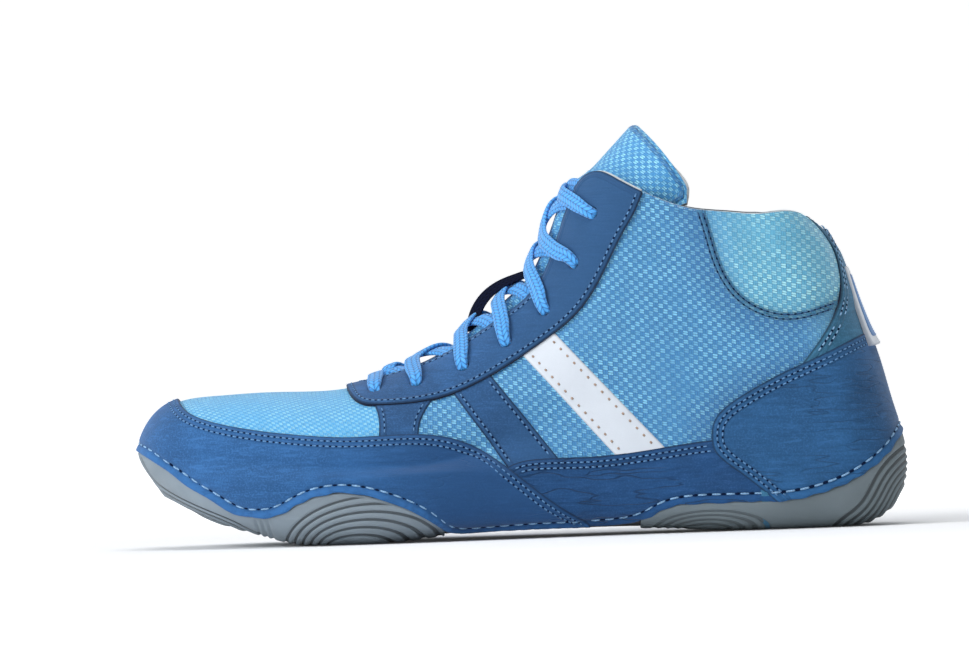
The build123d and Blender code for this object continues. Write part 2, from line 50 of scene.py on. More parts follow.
# ---------------------------------------------------------------- the last surface, as in the CAD model
# top x, top z, bottom x, bottom z, bottom cap depth, half width and squareness, top cap depth and
# half width, sideways place of the centre line at the bottom and at the top
STATIONS = [
    (-139.5, 26.0, -135.0, 19.5, 3.0, 5.0, 2.0, 3.0, 5.0, 7.0, 7.0),
    (-144.3, 35.0, -127.0, 15.0, 9.0, 19.0, 2.6, 9.0, 15.0, 6.5, 7.0),
    (-143.2, 43.0, -119.0, 10.5, 16.0, 29.0, 3.0, 14.0, 24.0, 5.5, 7.0),
    (-137.5, 51.5, -110.0, 7.0, 20.0, 36.0, 3.4, 19.0, 31.0, 4.5, 6.0),
    (-127.5, 57.0, -100.0, 4.0, 23.0, 41.5, 3.7, 24.0, 37.0, 3.5, 5.0),
    (-112.0, 58.6, -88.0, 0.5, 25.0, 46.0, 4.0, 27.0, 41.5, 2.5, 3.5),
    (-96.0, 59.2, -76.0, -1.3, 26.0, 48.5, 4.0, 29.0, 44.0, 1.5, 2.0),
    (-80.0, 59.0, -64.0, -1.3, 26.0, 49.5, 4.0, 30.0, 45.5, 0.5, 1.0),
    (-64.0, 59.8, -51.0, -1.2, 26.0, 49.5, 4.0, 31.0, 45.0, -0.5, 0.5),
    (-48.0, 64.0, -37.0, 0.5, 25.0, 48.0, 3.9, 35.0, 42.0, -1.5, 0.0),
    (-32.0, 70.0, -21.0, 1.7, 24.0, 44.5, 3.8, 39.0, 38.0, -2.5, 0.0),
    (-18.0, 79.0, -3.0, 1.7, 23.0, 40.5, 3.7, 42.0, 34.5, -3.0, 0.0),
    (-6.0, 89.0, 22.0, 1.7, 23.0, 36.5, 3.6, 44.0, 32.0, -2.5, 0.0),
    (4.0, 98.0, 52.0, 1.2, 24.0, 34.5, 3.6, 43.0, 31.0, -2.0, 0.0),
    (9.5, 107.0, 85.0, -0.9, 27.0, 34.5, 3.6, 40.0, 31.0, -1.0, 0.0),
    (13.0, 115.0, 112.0, -1.3, 32.0, 34.5, 3.4, 37.0, 31.5, -0.5, 0.0),
    (15.5, 121.5, 131.0, 0.5, 36.0, 34.0, 3.0, 35.0, 32.0, 0.0, 0.0),
    (17.5, 126.5, 142.5, 9.0, 37.0, 33.5, 2.5, 34.0, 32.0, 0.0, 0.0),
    (19.0, 130.0, 146.5, 22.0, 37.0, 33.5, 2.3, 34.0, 32.5, 0.0, 0.0),
    (20.0, 133.0, 145.0, 34.0, 36.0, 33.0, 2.2, 33.0, 32.5, 0.0, 0.0),
    (21.5, 136.0, 141.0, 48.0, 35.0, 32.5, 2.2, 33.0, 32.5, 0.0, 0.0),
    (23.0, 139.0, 136.5, 65.0, 34.0, 32.0, 2.1, 33.0, 32.5, 0.0, 0.0),
    (24.5, 142.0, 130.0, 83.0, 33.0, 31.5, 2.1, 33.0, 32.5, 0.0, 0.0),
    (26.0, 145.0, 124.5, 100.0, 32.0, 31.5, 2.0, 33.0, 32.5, 0.0, 0.0),
    (27.5, 148.0, 118.0, 115.0, 31.0, 32.0, 2.0, 33.0, 32.5, 0.0, 0.0),
    (29.0, 151.0, 111.0, 127.0, 30.0, 32.5, 2.0, 33.0, 33.0, 0.0, 0.0),
]

# side-view outlines, (x, z), each walked so that the panel it bounds lies on its left
HEM = [
    (-152, 40), (-139, 34), (-127, 25), (-115, 17.5), (-107, 12.7), (-99, 11.3), (-91, 12.5),
    (-82.5, 17), (-70, 19.7), (-57, 18), (-43.5, 13), (-35, 8), (-29, 4), (-16, 3.2), (14, 3.6),
    (44.5, 4.8), (52.5, 8.2), (62, 10.5), (96.5, 10.7), (112.5, 13), (126, 18), (138.5, 27),
    (144, 34), (152, 45),
]
COLLAR = [
    (150, 99), (124, 108.5), (116, 114.4), (107.5, 119.6), (94, 119), (82.5, 120), (67.5, 122),
    (52.5, 127.5), (40, 134.2), (34, 137.2), (25, 138.2), (19, 139.5), (8, 150), (-30, 190),
]
RAND_TOP = [
    (30, 1), (15, 11), (2.5, 21), (-12, 32.5), (-26, 39), (-41.5, 41), (-63, 40.7), (-84, 42.3),
    (-105, 45.5), (-124, 51.5), (-128.5, 57), (-132, 66),
]
ARCH_TOP = [(90, 35.5), (71.5, 34.4), (54.5, 32.5), (27.5, 30), (3, 29.8), (-5, 27.5), (-12, 24)]
COUNTER = [
    (150, 79), (131.5, 72.5), (114.5, 65), (98, 58), (82, 49.5), (76.5, 45.5), (73.2, 41),
    (72.4, 36), (73.5, 30), (83.5, 21), (97.5, 9),
]
BACKSTAY = [(103, 124), (109.5, 119.5), (119, 108.5), (123, 94), (121.5, 82), (113.5, 69.5), (105, 59)]
EYESTAY = [
    (-67, 70), (-64, 58), (-59.5, 53.6), (-52, 52.5), (-31, 54), (-9, 62.5), (13, 76), (28, 90),
    (40.5, 112), (46, 121), (52, 135),
]
COLLAR_SEAM = [
    (66, 130), (71, 115.5), (75, 100.5), (84, 86), (99, 78.7), (112, 79.5), (125, 83), (150, 84),
]
TAB_FRONT = [(-56, 57), (-52.8, 48), (-53.5, 36)]
TAB_REAR = [(-37.5, 36), (-37, 46), (-30, 57)]
SIDE_STRIPE_FRONT = [(-28, 61), (-5, 28)]
SIDE_STRIPE_REAR = [(16, 28), (-13, 66)]
WHITE_STRIPE_FRONT = [(-2, 74), (37, 29)]
WHITE_STRIPE_REAR = [(57.7, 29), (9, 83)]
TOE_GROOVE = [
    (-144, 36), (-141.8, 30.9), (-138.3, 25.5), (-129, 19.1), (-117.9, 13.8), (-108.9, 9.7),
    (-103, 6.4), (-98, 4),
]
HEEL_GROOVE = [(112, -8), (119, 1.2), (127.6, 8), (133.8, 17.7), (139, 24.2), (144.6, 28.5), (150, 31)]
INSOLE = [
    (-160, 51), (-138, 33), (-125, 26), (-110, 19.5), (-95, 15), (-80, 12.6), (-64, 11.8), (-45, 12.2),
    (-20, 13.6), (20, 14.4), (60, 15), (100, 15.6), (130, 17), (160, 21),
]
THROAT = [(-60, 0), (-57.5, 5), (-50, 8.3), (-40, 10), (-20, 13), (0, 15.5), (20, 15.8), (34, 17.5)]
EYELETS = [(-54, 58), (-38, 60), (-20.5, 65.5), (-4, 74), (11, 85.5), (22.5, 103), (30.5, 121.5)]
EYELET_RADIUS = 2.3

# depths of the pieces' faces under the last's surface; below 0 they stand out of it
ARCH_DEPTH = 0.5
COUNTER_DEPTH = -0.1
BACKSTAY_DEPTH = 0.4
STAY_DEPTH = -0.25
TAB_DEPTH = 0.75
STRIPE_DEPTH = 0.8
BADGE_DEPTH = -1.2
MESH_DEPTH = 1.3
LINING_DEPTH = 4.3
COLLAR_DEPTH = 7.9        # depth of the lining behind the padded collar
TONGUE_DEPTH = 5.2        # depth of the tongue's face under the eyestays
THROAT_TONGUE_DEPTH = 1.2  # and in the open throat
FLAP_HINGE = (27.5, 134.5)
FLAP_LEAN = math.radians(46.0)
FLAP_HALF_WIDTH = 26.5
FLAP_REACH = 35.0         # depth of the flap's curl
TONGUE_THICKNESS = 4.2
STITCH_ROWS = (2.0, 4.0)  # distances of a double row of stitches from the leather's edge
WHITE_ROW = 2.5           # and of the single rows on the white stripe
HEM_ROW = 3.2             # height of the long stitches above the hem
UNDERLAP = 3.0            # how far a leather runs on under the one that covers its edge
STRAP_UNDERLAP = 2.0      # and a tab or stripe
TOE_RAND_END = 30         # the toe rand's tail ends at this x
HEEL_START = 60           # no heel or collar piece reaches forward of this x
FOREFOOT_END = -29.5      # the forefoot pod ends here
HEEL_POD_START = 44.5     # and the heel pod starts here


def running(steps):
    """Running total that starts at 0."""
    return np.concatenate([[0.0], np.cumsum(steps)])


def lengths(points):
    """Lengths of the steps between rows of points."""
    return np.linalg.norm(np.diff(points, axis=0), axis=1)


def unit(vectors):
    """The vectors at length 1."""
    return vectors / np.maximum(np.linalg.norm(vectors, axis=-1, keepdims=True), 1e-9)


def lookup(at, run, rows):
    """Rows of coordinates, known along run, interpolated at the places in at."""
    return np.stack([np.interp(at, run, rows[:, k]) for k in range(3)], axis=1)


def averaged(rows):
    """Each row but the first and last, averaged with its neighbours."""
    return (rows[:-2] + 2 * rows[1:-1] + rows[2:]) / 4


def cells(index):
    """The four corners of each cell in a grid of point numbers."""
    return np.stack([index[:-1, :-1], index[:-1, 1:], index[1:, 1:], index[1:, :-1]], axis=2).reshape(-1, 4)


def natural_bends(t, y):
    """Second derivatives of the natural cubic spline through the points (t, y)."""
    h = np.diff(t)
    matrix = np.eye(len(t))
    right = np.zeros(y.shape)
    for i in range(1, len(t) - 1):
        matrix[i, i - 1:i + 2] = h[i - 1], 2 * (h[i - 1] + h[i]), h[i]
        right[i] = 6 * ((y[i + 1] - y[i]) / h[i] - (y[i] - y[i - 1]) / h[i - 1])
    return np.linalg.solve(matrix, right)


def spline_at(t, y, bends, at):
    """Points of the natural cubic spline at the parameters in at."""
    i = np.clip(np.searchsorted(t, at) - 1, 0, len(t) - 2)
    h = (t[i + 1] - t[i])[:, None]
    a = (t[i + 1] - at)[:, None] / h
    b = (at - t[i])[:, None] / h
    return a * y[i] + b * y[i + 1] + ((a ** 3 - a) * bends[i] + (b ** 3 - b) * bends[i + 1]) * h * h / 6


ROWS = np.array(STATIONS)
STEPS = np.hypot(*np.diff(ROWS[:, 0:2], axis=0).T) + np.hypot(*np.diff(ROWS[:, 2:4], axis=0).T)
KNOTS = running(np.sqrt(STEPS))
KNOTS = KNOTS / KNOTS[-1]
BENDS = natural_bends(KNOTS, ROWS)


def curve(points, per_span=10):
    """Fine polyline along the smooth curve through side-view points."""
    p = np.array(points, float)
    t = running(np.sqrt(np.hypot(*np.diff(p, axis=0).T)))
    spans = [np.linspace(a, b, per_span, endpoint=False) for a, b in zip(t[:-1], t[1:])]
    at = np.concatenate(spans + [[t[-1]]])
    return spline_at(t, p, natural_bends(t, p), at)


SECTION_POINTS = 70       # points in each of the three stretches of half a cross-section


def last_points(us, vs):
    """Points of the last surface on the grid us by vs; v is 0 at the sole's middle, 1 on the ridge."""
    rows = spline_at(KNOTS, ROWS, BENDS, us)
    turn = np.linspace(0, math.pi / 2, SECTION_POINTS)
    middle = np.linspace(0, 1, SECTION_POINTS)[1:-1]
    ease = middle * middle * (3 - 2 * middle)
    along = np.where(vs <= 1, vs, 2 - vs)
    side = np.where((vs <= 1) & (vs >= 0), -1.0, 1.0)
    along = np.abs(along)
    points = np.empty((len(us), len(vs), 3))
    for i, (tx, tz, bx, bz, low, low_w, square, high, high_w, low_y, high_y) in enumerate(rows):
        height = math.hypot(tx - bx, tz - bz)
        up = np.concatenate([low * (1 - np.cos(turn) ** (2 / square)), low + (height - low - high) * middle,
                             height - high * (1 - np.cos(turn[::-1]))])
        out = np.concatenate([low_w * np.sin(turn) ** (2 / square), low_w + (high_w - low_w) * ease,
                              high_w * np.sin(turn[::-1])])
        length = running(np.hypot(np.diff(up), np.diff(out)))
        k = np.interp(along * length[-1], length, up) / height
        points[i, :, 0] = bx + (tx - bx) * k
        points[i, :, 1] = low_y + (high_y - low_y) * k + side * np.interp(along * length[-1], length, out)
        points[i, :, 2] = bz + (tz - bz) * k
    return points


class Grid:
    """Points, inward normals and surface measures on a grid over the last."""

    def __init__(self, us, vs):
        self.us, self.vs = us, vs
        self.points = last_points(us, vs)
        along = np.gradient(self.points, axis=0)
        across = np.gradient(self.points, axis=1)
        self.normals = unit(np.cross(across, along))
        self.x, self.y, self.z = (self.points[:, :, k] for k in range(3))
        ridge = int(np.argmin(np.abs(vs - 1)))
        steps = np.linalg.norm(np.diff(self.points, axis=1), axis=2)
        arc = np.concatenate([np.zeros((len(us), 1)), np.cumsum(steps, axis=1)], axis=1)
        self.arc = arc - arc[:, ridge:ridge + 1]
        self.run = np.broadcast_to(running(lengths(self.points[:, ridge]))[:, None], self.arc.shape)

    def part(self, rows, cols):
        """The same grid cut down to a range of rows and columns."""
        cut = object.__new__(Grid)
        for name in ("points", "normals", "x", "y", "z", "arc", "run"):
            setattr(cut, name, getattr(self, name)[rows, cols])
        cut.us, cut.vs = self.us[rows], self.vs[cols]
        return cut


BATCH = 20000             # points measured at a time, to keep memory low


def beside(grid, points, flat=False):
    """Distance from a side-view curve, over the surface or flat, positive on the curve's left."""
    line = curve(points)
    a, step = line[:-1], np.diff(line, axis=0)
    square = (step ** 2).sum(axis=1)
    places = np.stack([grid.x.ravel(), grid.z.ravel()], axis=1)
    found = np.empty(len(places))
    ways = np.empty((len(places), 2))
    for start in range(0, len(places), BATCH):
        batch = slice(start, start + BATCH)
        some = places[batch]
        off = some[:, None, :] - a[None]
        t = np.clip((off * step).sum(axis=2) / square, 0, 1)
        gap = off - t[:, :, None] * step
        far = (gap ** 2).sum(axis=2)
        best = far.argmin(axis=1)
        pick = np.arange(len(some))
        sign = np.sign(step[best, 0] * off[pick, best, 1] - step[best, 1] * off[pick, best, 0])
        found[batch] = np.sqrt(far[pick, best]) * np.where(sign == 0, 1, sign)
        ways[batch] = np.stack([-step[best, 1], step[best, 0]], axis=1) / np.sqrt(square[best])[:, None]
    if flat:
        return found.reshape(grid.x.shape)
    tilt = ways[:, 0] * grid.normals[:, :, 0].ravel() + ways[:, 1] * grid.normals[:, :, 2].ravel()
    return (found / np.sqrt(np.clip(1 - tilt ** 2, 0.08, 1))).reshape(grid.x.shape)


def throat_half_width(x):
    """Half width of the open throat at x."""
    xs, ys = zip(*THROAT)
    return np.interp(x, xs, ys, left=-5.0)


def lower_of(*fields):
    """The smallest of several distances: how far inside a panel that they bound together."""
    return np.minimum.reduce([np.broadcast_to(f, fields[0].shape) for f in fields])


def rounded(a, b, radius):
    """The smaller of two distances, with the corner between them rounded off."""
    near_a = np.maximum(radius - a, 0)
    near_b = np.maximum(radius - b, 0)
    return np.where((a < radius) & (b < radius), radius - np.hypot(near_a, near_b), np.minimum(a, b))


def step_between(value, low, high):
    """Smooth step from 0 at low to 1 at high."""
    t = np.clip((value - low) / (high - low), 0, 1)
    return t * t * (3 - 2 * t)


# ---------------------------------------------------------------- meshes
def clip(grid, inside, fields):
    """Cuts the grid along inside = 0. Gives rows of point, normal, inside and fields, and the faces."""
    shape = inside.shape
    columns = [grid.points.reshape(-1, 3), grid.normals.reshape(-1, 3), inside.reshape(-1, 1)]
    columns += [np.broadcast_to(f, shape).reshape(-1, 1) for f in fields]
    data = np.concatenate(columns, axis=1)
    quads = cells(np.arange(inside.size).reshape(shape))
    value = inside.ravel()
    kept = value[quads] > 0
    whole = quads[kept.all(axis=1)]
    mixed = quads[kept.any(axis=1) & ~kept.all(axis=1)]
    extra, cuts, polygons = [], {}, []
    for quad in mixed:
        ring = []
        for a, b in zip(quad, np.roll(quad, -1)):
            if value[a] > 0:
                ring.append(int(a))
            if (value[a] > 0) != (value[b] > 0):
                key = (min(a, b), max(a, b))
                if key not in cuts:
                    t = value[key[0]] / (value[key[0]] - value[key[1]])
                    cuts[key] = len(data) + len(extra)
                    extra.append(data[key[0]] * (1 - t) + data[key[1]] * t)
                ring.append(cuts[key])
        if len(ring) > 2:
            polygons.append(ring)
    if extra:
        data = np.concatenate([data, np.array(extra)])
    faces = whole.tolist() + polygons
    used = np.unique(np.concatenate([np.array(f) for f in faces])) if faces else np.array([], int)
    place = np.full(len(data), -1)
    place[used] = np.arange(len(used))
    return data[used], [[int(place[i]) for i in f] for f in faces]


def contour(grid, field, level, inside, at_least):
    """Lines where field is level and inside is at_least so much, as arrays of points and normals."""
    value = (field - level).ravel()
    allowed = (inside >= at_least).ravel()
    data = np.concatenate([grid.points.reshape(-1, 3), grid.normals.reshape(-1, 3)], axis=1)
    quads = cells(np.arange(value.size).reshape(field.shape))
    signs = value[quads] > 0
    quads = quads[signs.any(axis=1) & ~signs.all(axis=1) & allowed[quads].all(axis=1)]
    places, links = {}, {}
    for quad in quads:
        ends = []
        for a, b in zip(quad, np.roll(quad, -1)):
            if (value[a] > 0) != (value[b] > 0):
                key = (int(min(a, b)), int(max(a, b)))
                t = value[key[0]] / (value[key[0]] - value[key[1]])
                places[key] = data[key[0]] * (1 - t) + data[key[1]] * t
                ends.append(key)
        if len(ends) == 2:
            links.setdefault(ends[0], []).append(ends[1])
            links.setdefault(ends[1], []).append(ends[0])
    lines, seen = [], set()
    starts = [k for k, joined in links.items() if len(joined) == 1] + list(links)
    for start in starts:
        if start in seen:
            continue
        chain, here = [start], start
        seen.add(start)
        while True:
            onward = [k for k in links[here] if k not in seen]
            if not onward:
                break
            here = onward[0]
            seen.add(here)
            chain.append(here)
        if len(chain) > 3:
            lines.append(np.array([places[k] for k in chain]))
    return lines


def spaced(line, pitch):
    """A line's points and normals at an even pitch, smoothed a little."""
    points = line[:, :3].copy()
    for _ in range(2):
        points[1:-1] = averaged(points)
    run = running(lengths(points))
    at = np.linspace(0, run[-1], max(int(run[-1] / pitch), 2) + 1)
    return lookup(at, run, points), unit(lookup(at, run, line[:, 3:]))


def double_rows(grid, field, where, at_least):
    """Lines of a double row of stitches inside the edge where field is 0."""
    return [line for level in STITCH_ROWS for line in contour(grid, field, level, where, at_least)]


def make_object(name, vertices, faces, materials, body="boot", attributes=None, face_slots=None):
    """Mesh object from millimetre vertices, riding on a body unless that is None."""
    mesh = bpy.data.meshes.new(name)
    mesh.from_pydata((np.asarray(vertices) * MM).tolist(), [], faces)
    for material in materials:
        mesh.materials.append(material)
    if face_slots is not None:
        mesh.polygons.foreach_set("material_index", np.asarray(face_slots, dtype=np.int32))
    mesh.polygons.foreach_set("use_smooth", [True] * len(mesh.polygons))
    for key, values in (attributes or {}).items():
        values = np.asarray(values, float)
        kind, field = ("FLOAT", "value") if values.ndim == 1 else ("FLOAT_VECTOR", "vector")
        mesh.attributes.new(key, kind, "POINT").data.foreach_set(field, values.ravel())
    mesh.update()
    thing = bpy.data.objects.new(name, mesh)
    bpy.context.scene.collection.objects.link(thing)
    if body:
        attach(thing, body)
    return thing


def rim_edges(faces):
    """Directed edges that only one face uses."""
    count = {}
    for face in faces:
        for a, b in zip(face, face[1:] + face[:1]):
            key = (min(a, b), max(a, b))
            count[key] = None if key in count else (a, b)
    return [edge for edge in count.values() if edge]


def panel(name, grid, inside, depth, materials, thickness=1.3, roll=0.5, weave=None, relief=None, edge=None):
    """A sheet of material over the last where inside is positive, with a rounded cut edge.

    depth is how far its face lies under the last's surface, relief what is taken off that, weave the
    measures that its yarns follow, and edge the distance that its stitch rows and painted edge shade follow.
    """
    zero = np.zeros(grid.x.shape)
    across, along = (grid.x, grid.z) if weave is None else weave
    data, faces = clip(grid, inside, [across, along, zero + depth, zero if relief is None else relief,
                                      inside if edge is None else edge])
    point, normal = data[:, :3], data[:, 3:6]
    inward, across, along, deep, lift, edge_far = data[:, 6:].T
    t = 1 - np.clip(inward / roll, 0, 1)
    rolled = roll * 0.7 * (1 - np.sqrt(np.clip(1 - t ** 2, 0, 1)))
    vertices = point + normal * (deep + rolled - lift)[:, None]
    vertices[:, 2] = np.maximum(vertices[:, 2], 0.0)
    top, skirt_faces, skirt = {}, [], []
    for a, b in rim_edges(faces):
        for k in (a, b):
            if k not in top:
                top[k] = len(vertices) + len(skirt)
                skirt.append(vertices[k])
                skirt.append(point[k] + normal[k] * (deep[k] + thickness))
        skirt_faces.append([top[b], top[a], top[a] + 1, top[b] + 1])
    slots = [0] * len(faces) + [len(materials) - 1] * len(skirt_faces)
    owners = np.concatenate([np.arange(len(vertices)), np.repeat(np.array(list(top), int), 2)])
    if skirt:
        skirt = np.array(skirt)
        skirt[:, 2] = np.maximum(skirt[:, 2], 0.0)
        vertices = np.concatenate([vertices, skirt])
    attributes = {"weave": np.stack([across, along, 0 * along], axis=1)[owners], "edge": edge_far[owners]}
    return make_object(name, vertices, faces + skirt_faces, materials, attributes=attributes,
                       face_slots=slots)


def skin_faces(rings, count, closed_ring=True):
    """Faces of a skin over a number of rings of count points each."""
    faces = []
    for i in range(rings - 1):
        for j in range(count if closed_ring else count - 1):
            k = (j + 1) % count
            faces.append([i * count + j, i * count + k, (i + 1) * count + k, (i + 1) * count + j])
    return faces


def sweep(rings, closed_ring=True):
    """Vertices and faces of a skin over rings of points, capped at both ends where the rings are closed."""
    count = len(rings[0])
    faces = skin_faces(len(rings), count, closed_ring)
    if closed_ring:
        faces.append(list(range(count))[::-1])
        faces.append([(len(rings) - 1) * count + j for j in range(count)])
    return np.concatenate(rings), faces


def stitch_mesh(rows, length, width, height, depth):
    """Vertices and faces of short threads along rows of (points, normals)."""
    turns = np.linspace(0, 2 * math.pi, 6, endpoint=False)
    # place along the stitch, size there and how far it sinks into the leather
    stations = [(-0.5, 0.30, 0.75), (-0.38, 0.85, 0.2), (0.0, 1.0, 0.0), (0.38, 0.85, 0.2), (0.5, 0.30, 0.75)]
    template = skin_faces(len(stations), len(turns))
    all_vertices, all_faces, base = [], [], 0
    for place, normal in rows:
        middle = (place[:-1] + place[1:]) / 2
        way = unit(place[1:] - place[:-1])
        up = -(normal[:-1] + normal[1:]) / 2
        up = unit(up - (up * way).sum(axis=1, keepdims=True) * way)
        side = np.cross(way, up)
        rings = []
        for along, size, sink in stations:
            for turn in turns:
                rings.append(middle + way * along * length + side * (math.cos(turn) * width / 2 * size)
                             + up * (math.sin(turn) * height / 2 * size - depth - sink * height))
        block = np.stack(rings, axis=1)
        per = block.shape[1]
        for n in range(len(block)):
            all_faces += [[base + n * per + c for c in f] for f in template]
        all_vertices.append(block.reshape(-1, 3))
        base += len(block) * per
    return np.concatenate(all_vertices), all_faces


def stitches(name, lines, material, pitch=2.4, length=1.75, width=0.6, height=0.5, depth=0.0, holes=True):
    """A thread in short stitches along lines, with a dark patch of painted shade for the needle hole between
    every two if holes is on.
    """
    rows = [spaced(line, pitch) for line in lines if len(line) > 4]
    rows = [row for row in rows if len(row[0]) > 2]
    if not rows:
        return None
    vertices, faces = stitch_mesh(rows, length, width, height, depth)
    if not holes:
        return make_object(name, vertices, faces, [material])
    # dark patches between the stitches: painted shade in the needle holes
    gaps = [[(rows_of[:-1] + rows_of[1:]) / 2 for rows_of in row] for row in rows]
    dark, dark_faces = stitch_mesh(gaps, pitch - length + 0.45, width * 1.35, height * 0.55, depth)
    slots = [0] * len(faces) + [1] * len(dark_faces)
    faces = faces + [[k + len(vertices) for k in face] for face in dark_faces]
    return make_object(name, np.concatenate([vertices, dark]), faces, [material, needle_hole_shade],
                       face_slots=slots)


# ---------------------------------------------------------------- materials
def srgb(red, green, blue):
    """Linear colour of an 8-bit one."""
    def one(c):
        c = c / 255
        return c / 12.92 if c <= 0.04045 else ((c + 0.055) / 1.055) ** 2.4
    return (one(red), one(green), one(blue), 1.0)


def shade_of(colour, factor, lift=0.0):
    """The colour made darker or paler."""
    return tuple(min(c * factor + lift, 1.0) for c in colour[:3]) + (1.0,)


class Nodes:
    """Short way to build a material's node tree."""

    def __init__(self, name, roughness, sheen=0.0, specular=0.5):
        self.material = bpy.data.materials.new(name)
        self.material.use_nodes = True
        self.tree = self.material.node_tree
        self.shader = self.tree.nodes["Principled BSDF"]
        self.shader.inputs["Roughness"].default_value = roughness
        self.shader.inputs["Specular IOR Level"].default_value = specular
        self.shader.inputs["Sheen Weight"].default_value = sheen
        self.shader.inputs["Sheen Roughness"].default_value = 0.5

    def add(self, kind, **settings):
        node = self.tree.nodes.new("ShaderNode" + kind)
        for key, value in settings.items():
            setattr(node, key, value)
        return node

    def link(self, source, target):
        self.tree.links.new(source, target)

    def feed(self, socket, value):
        """Sets a socket from a number, a vector or another socket."""
        if isinstance(value, bpy.types.NodeSocket):
            self.link(value, socket)
        else:
            socket.default_value = value

    def math(self, operation, a, b=None, c=None):
        node = self.add("Math", operation=operation)
        for socket, value in zip(node.inputs, (a, b, c)):
            if value is not None:
                self.feed(socket, value)
        return node.outputs[0]

    def times(self, a, b):
        return self.math("MULTIPLY", a, b)

    def plus(self, a, b):
        return self.math("ADD", a, b)

    def minus(self, a, b):
        return self.math("SUBTRACT", a, b)

    def absolute(self, a):
        return self.math("ABSOLUTE", a)

    def split(self, vector):
        """The three parts of a vector."""
        node = self.add("SeparateXYZ")
        self.link(vector, node.inputs[0])
        return node.outputs

    def weave(self):
        """The two surface measures that the mesh carries."""
        return self.split(self.attribute("weave", "Vector"))[:2]

    def towards(self, colour, ends, strength):
        """Turns a colour to another between two places along x; ends is both places and that colour."""
        start, end, other = ends
        return self.mix(self.ramp(self.split(self.place())[0], start, end, 0.0, strength), colour, other)

    def band(self, value, centre, half):
        """1 within half of centre, fading to 0 at twice that."""
        return self.ramp(self.absolute(self.minus(value, centre)), half, half * 2, 1.0, 0.0)

    def ramp(self, value, low, high, low_out=0.0, high_out=1.0):
        node = self.add("MapRange", interpolation_type="SMOOTHSTEP")
        for socket, number in zip(node.inputs[:5], (value, low, high, low_out, high_out)):
            self.feed(socket, number)
        return node.outputs[0]

    def place(self, scale=(1, 1, 1), turn=(0, 0, 0)):
        """Object coordinates, in metres, turned and scaled."""
        node = self.add("Mapping")
        node.inputs["Rotation"].default_value = turn
        node.inputs["Scale"].default_value = scale
        self.link(self.add("TexCoord").outputs["Object"], node.inputs["Vector"])
        return node.outputs[0]

    def noise(self, scale, detail=3.0, roughness=0.5, vector=None):
        node = self.add("TexNoise")
        self.feed(node.inputs["Vector"], vector or self.place())
        node.inputs["Scale"].default_value = scale
        node.inputs["Detail"].default_value = detail
        node.inputs["Roughness"].default_value = roughness
        return node.outputs["Fac"]

    def mix(self, factor, low, high):
        node = self.add("Mix", data_type="RGBA")
        self.feed(node.inputs["Factor"], factor)
        self.feed(node.inputs[6], low)
        self.feed(node.inputs[7], high)
        return node.outputs[2]

    def attribute(self, name, output="Fac"):
        return self.add("Attribute", attribute_name=name).outputs[output]

    def groove(self, band, strength, distance, normal):
        """Sinks the surface where band is 1."""
        return self.bump(self.times(band, -1.0), strength, distance, normal)

    def bump(self, height, strength, distance, normal=None):
        node = self.add("Bump")
        node.inputs["Strength"].default_value = strength
        node.inputs["Distance"].default_value = distance
        self.link(height, node.inputs["Height"])
        if normal is not None:
            self.link(normal, node.inputs["Normal"])
        return node.outputs[0]

    def finish(self, colour, normal=None, roughness=None):
        self.feed(self.shader.inputs["Base Color"], colour)
        if normal is not None:
            self.link(normal, self.shader.inputs["Normal"])
        if roughness is not None:
            self.link(roughness, self.shader.inputs["Roughness"])
        return self.material


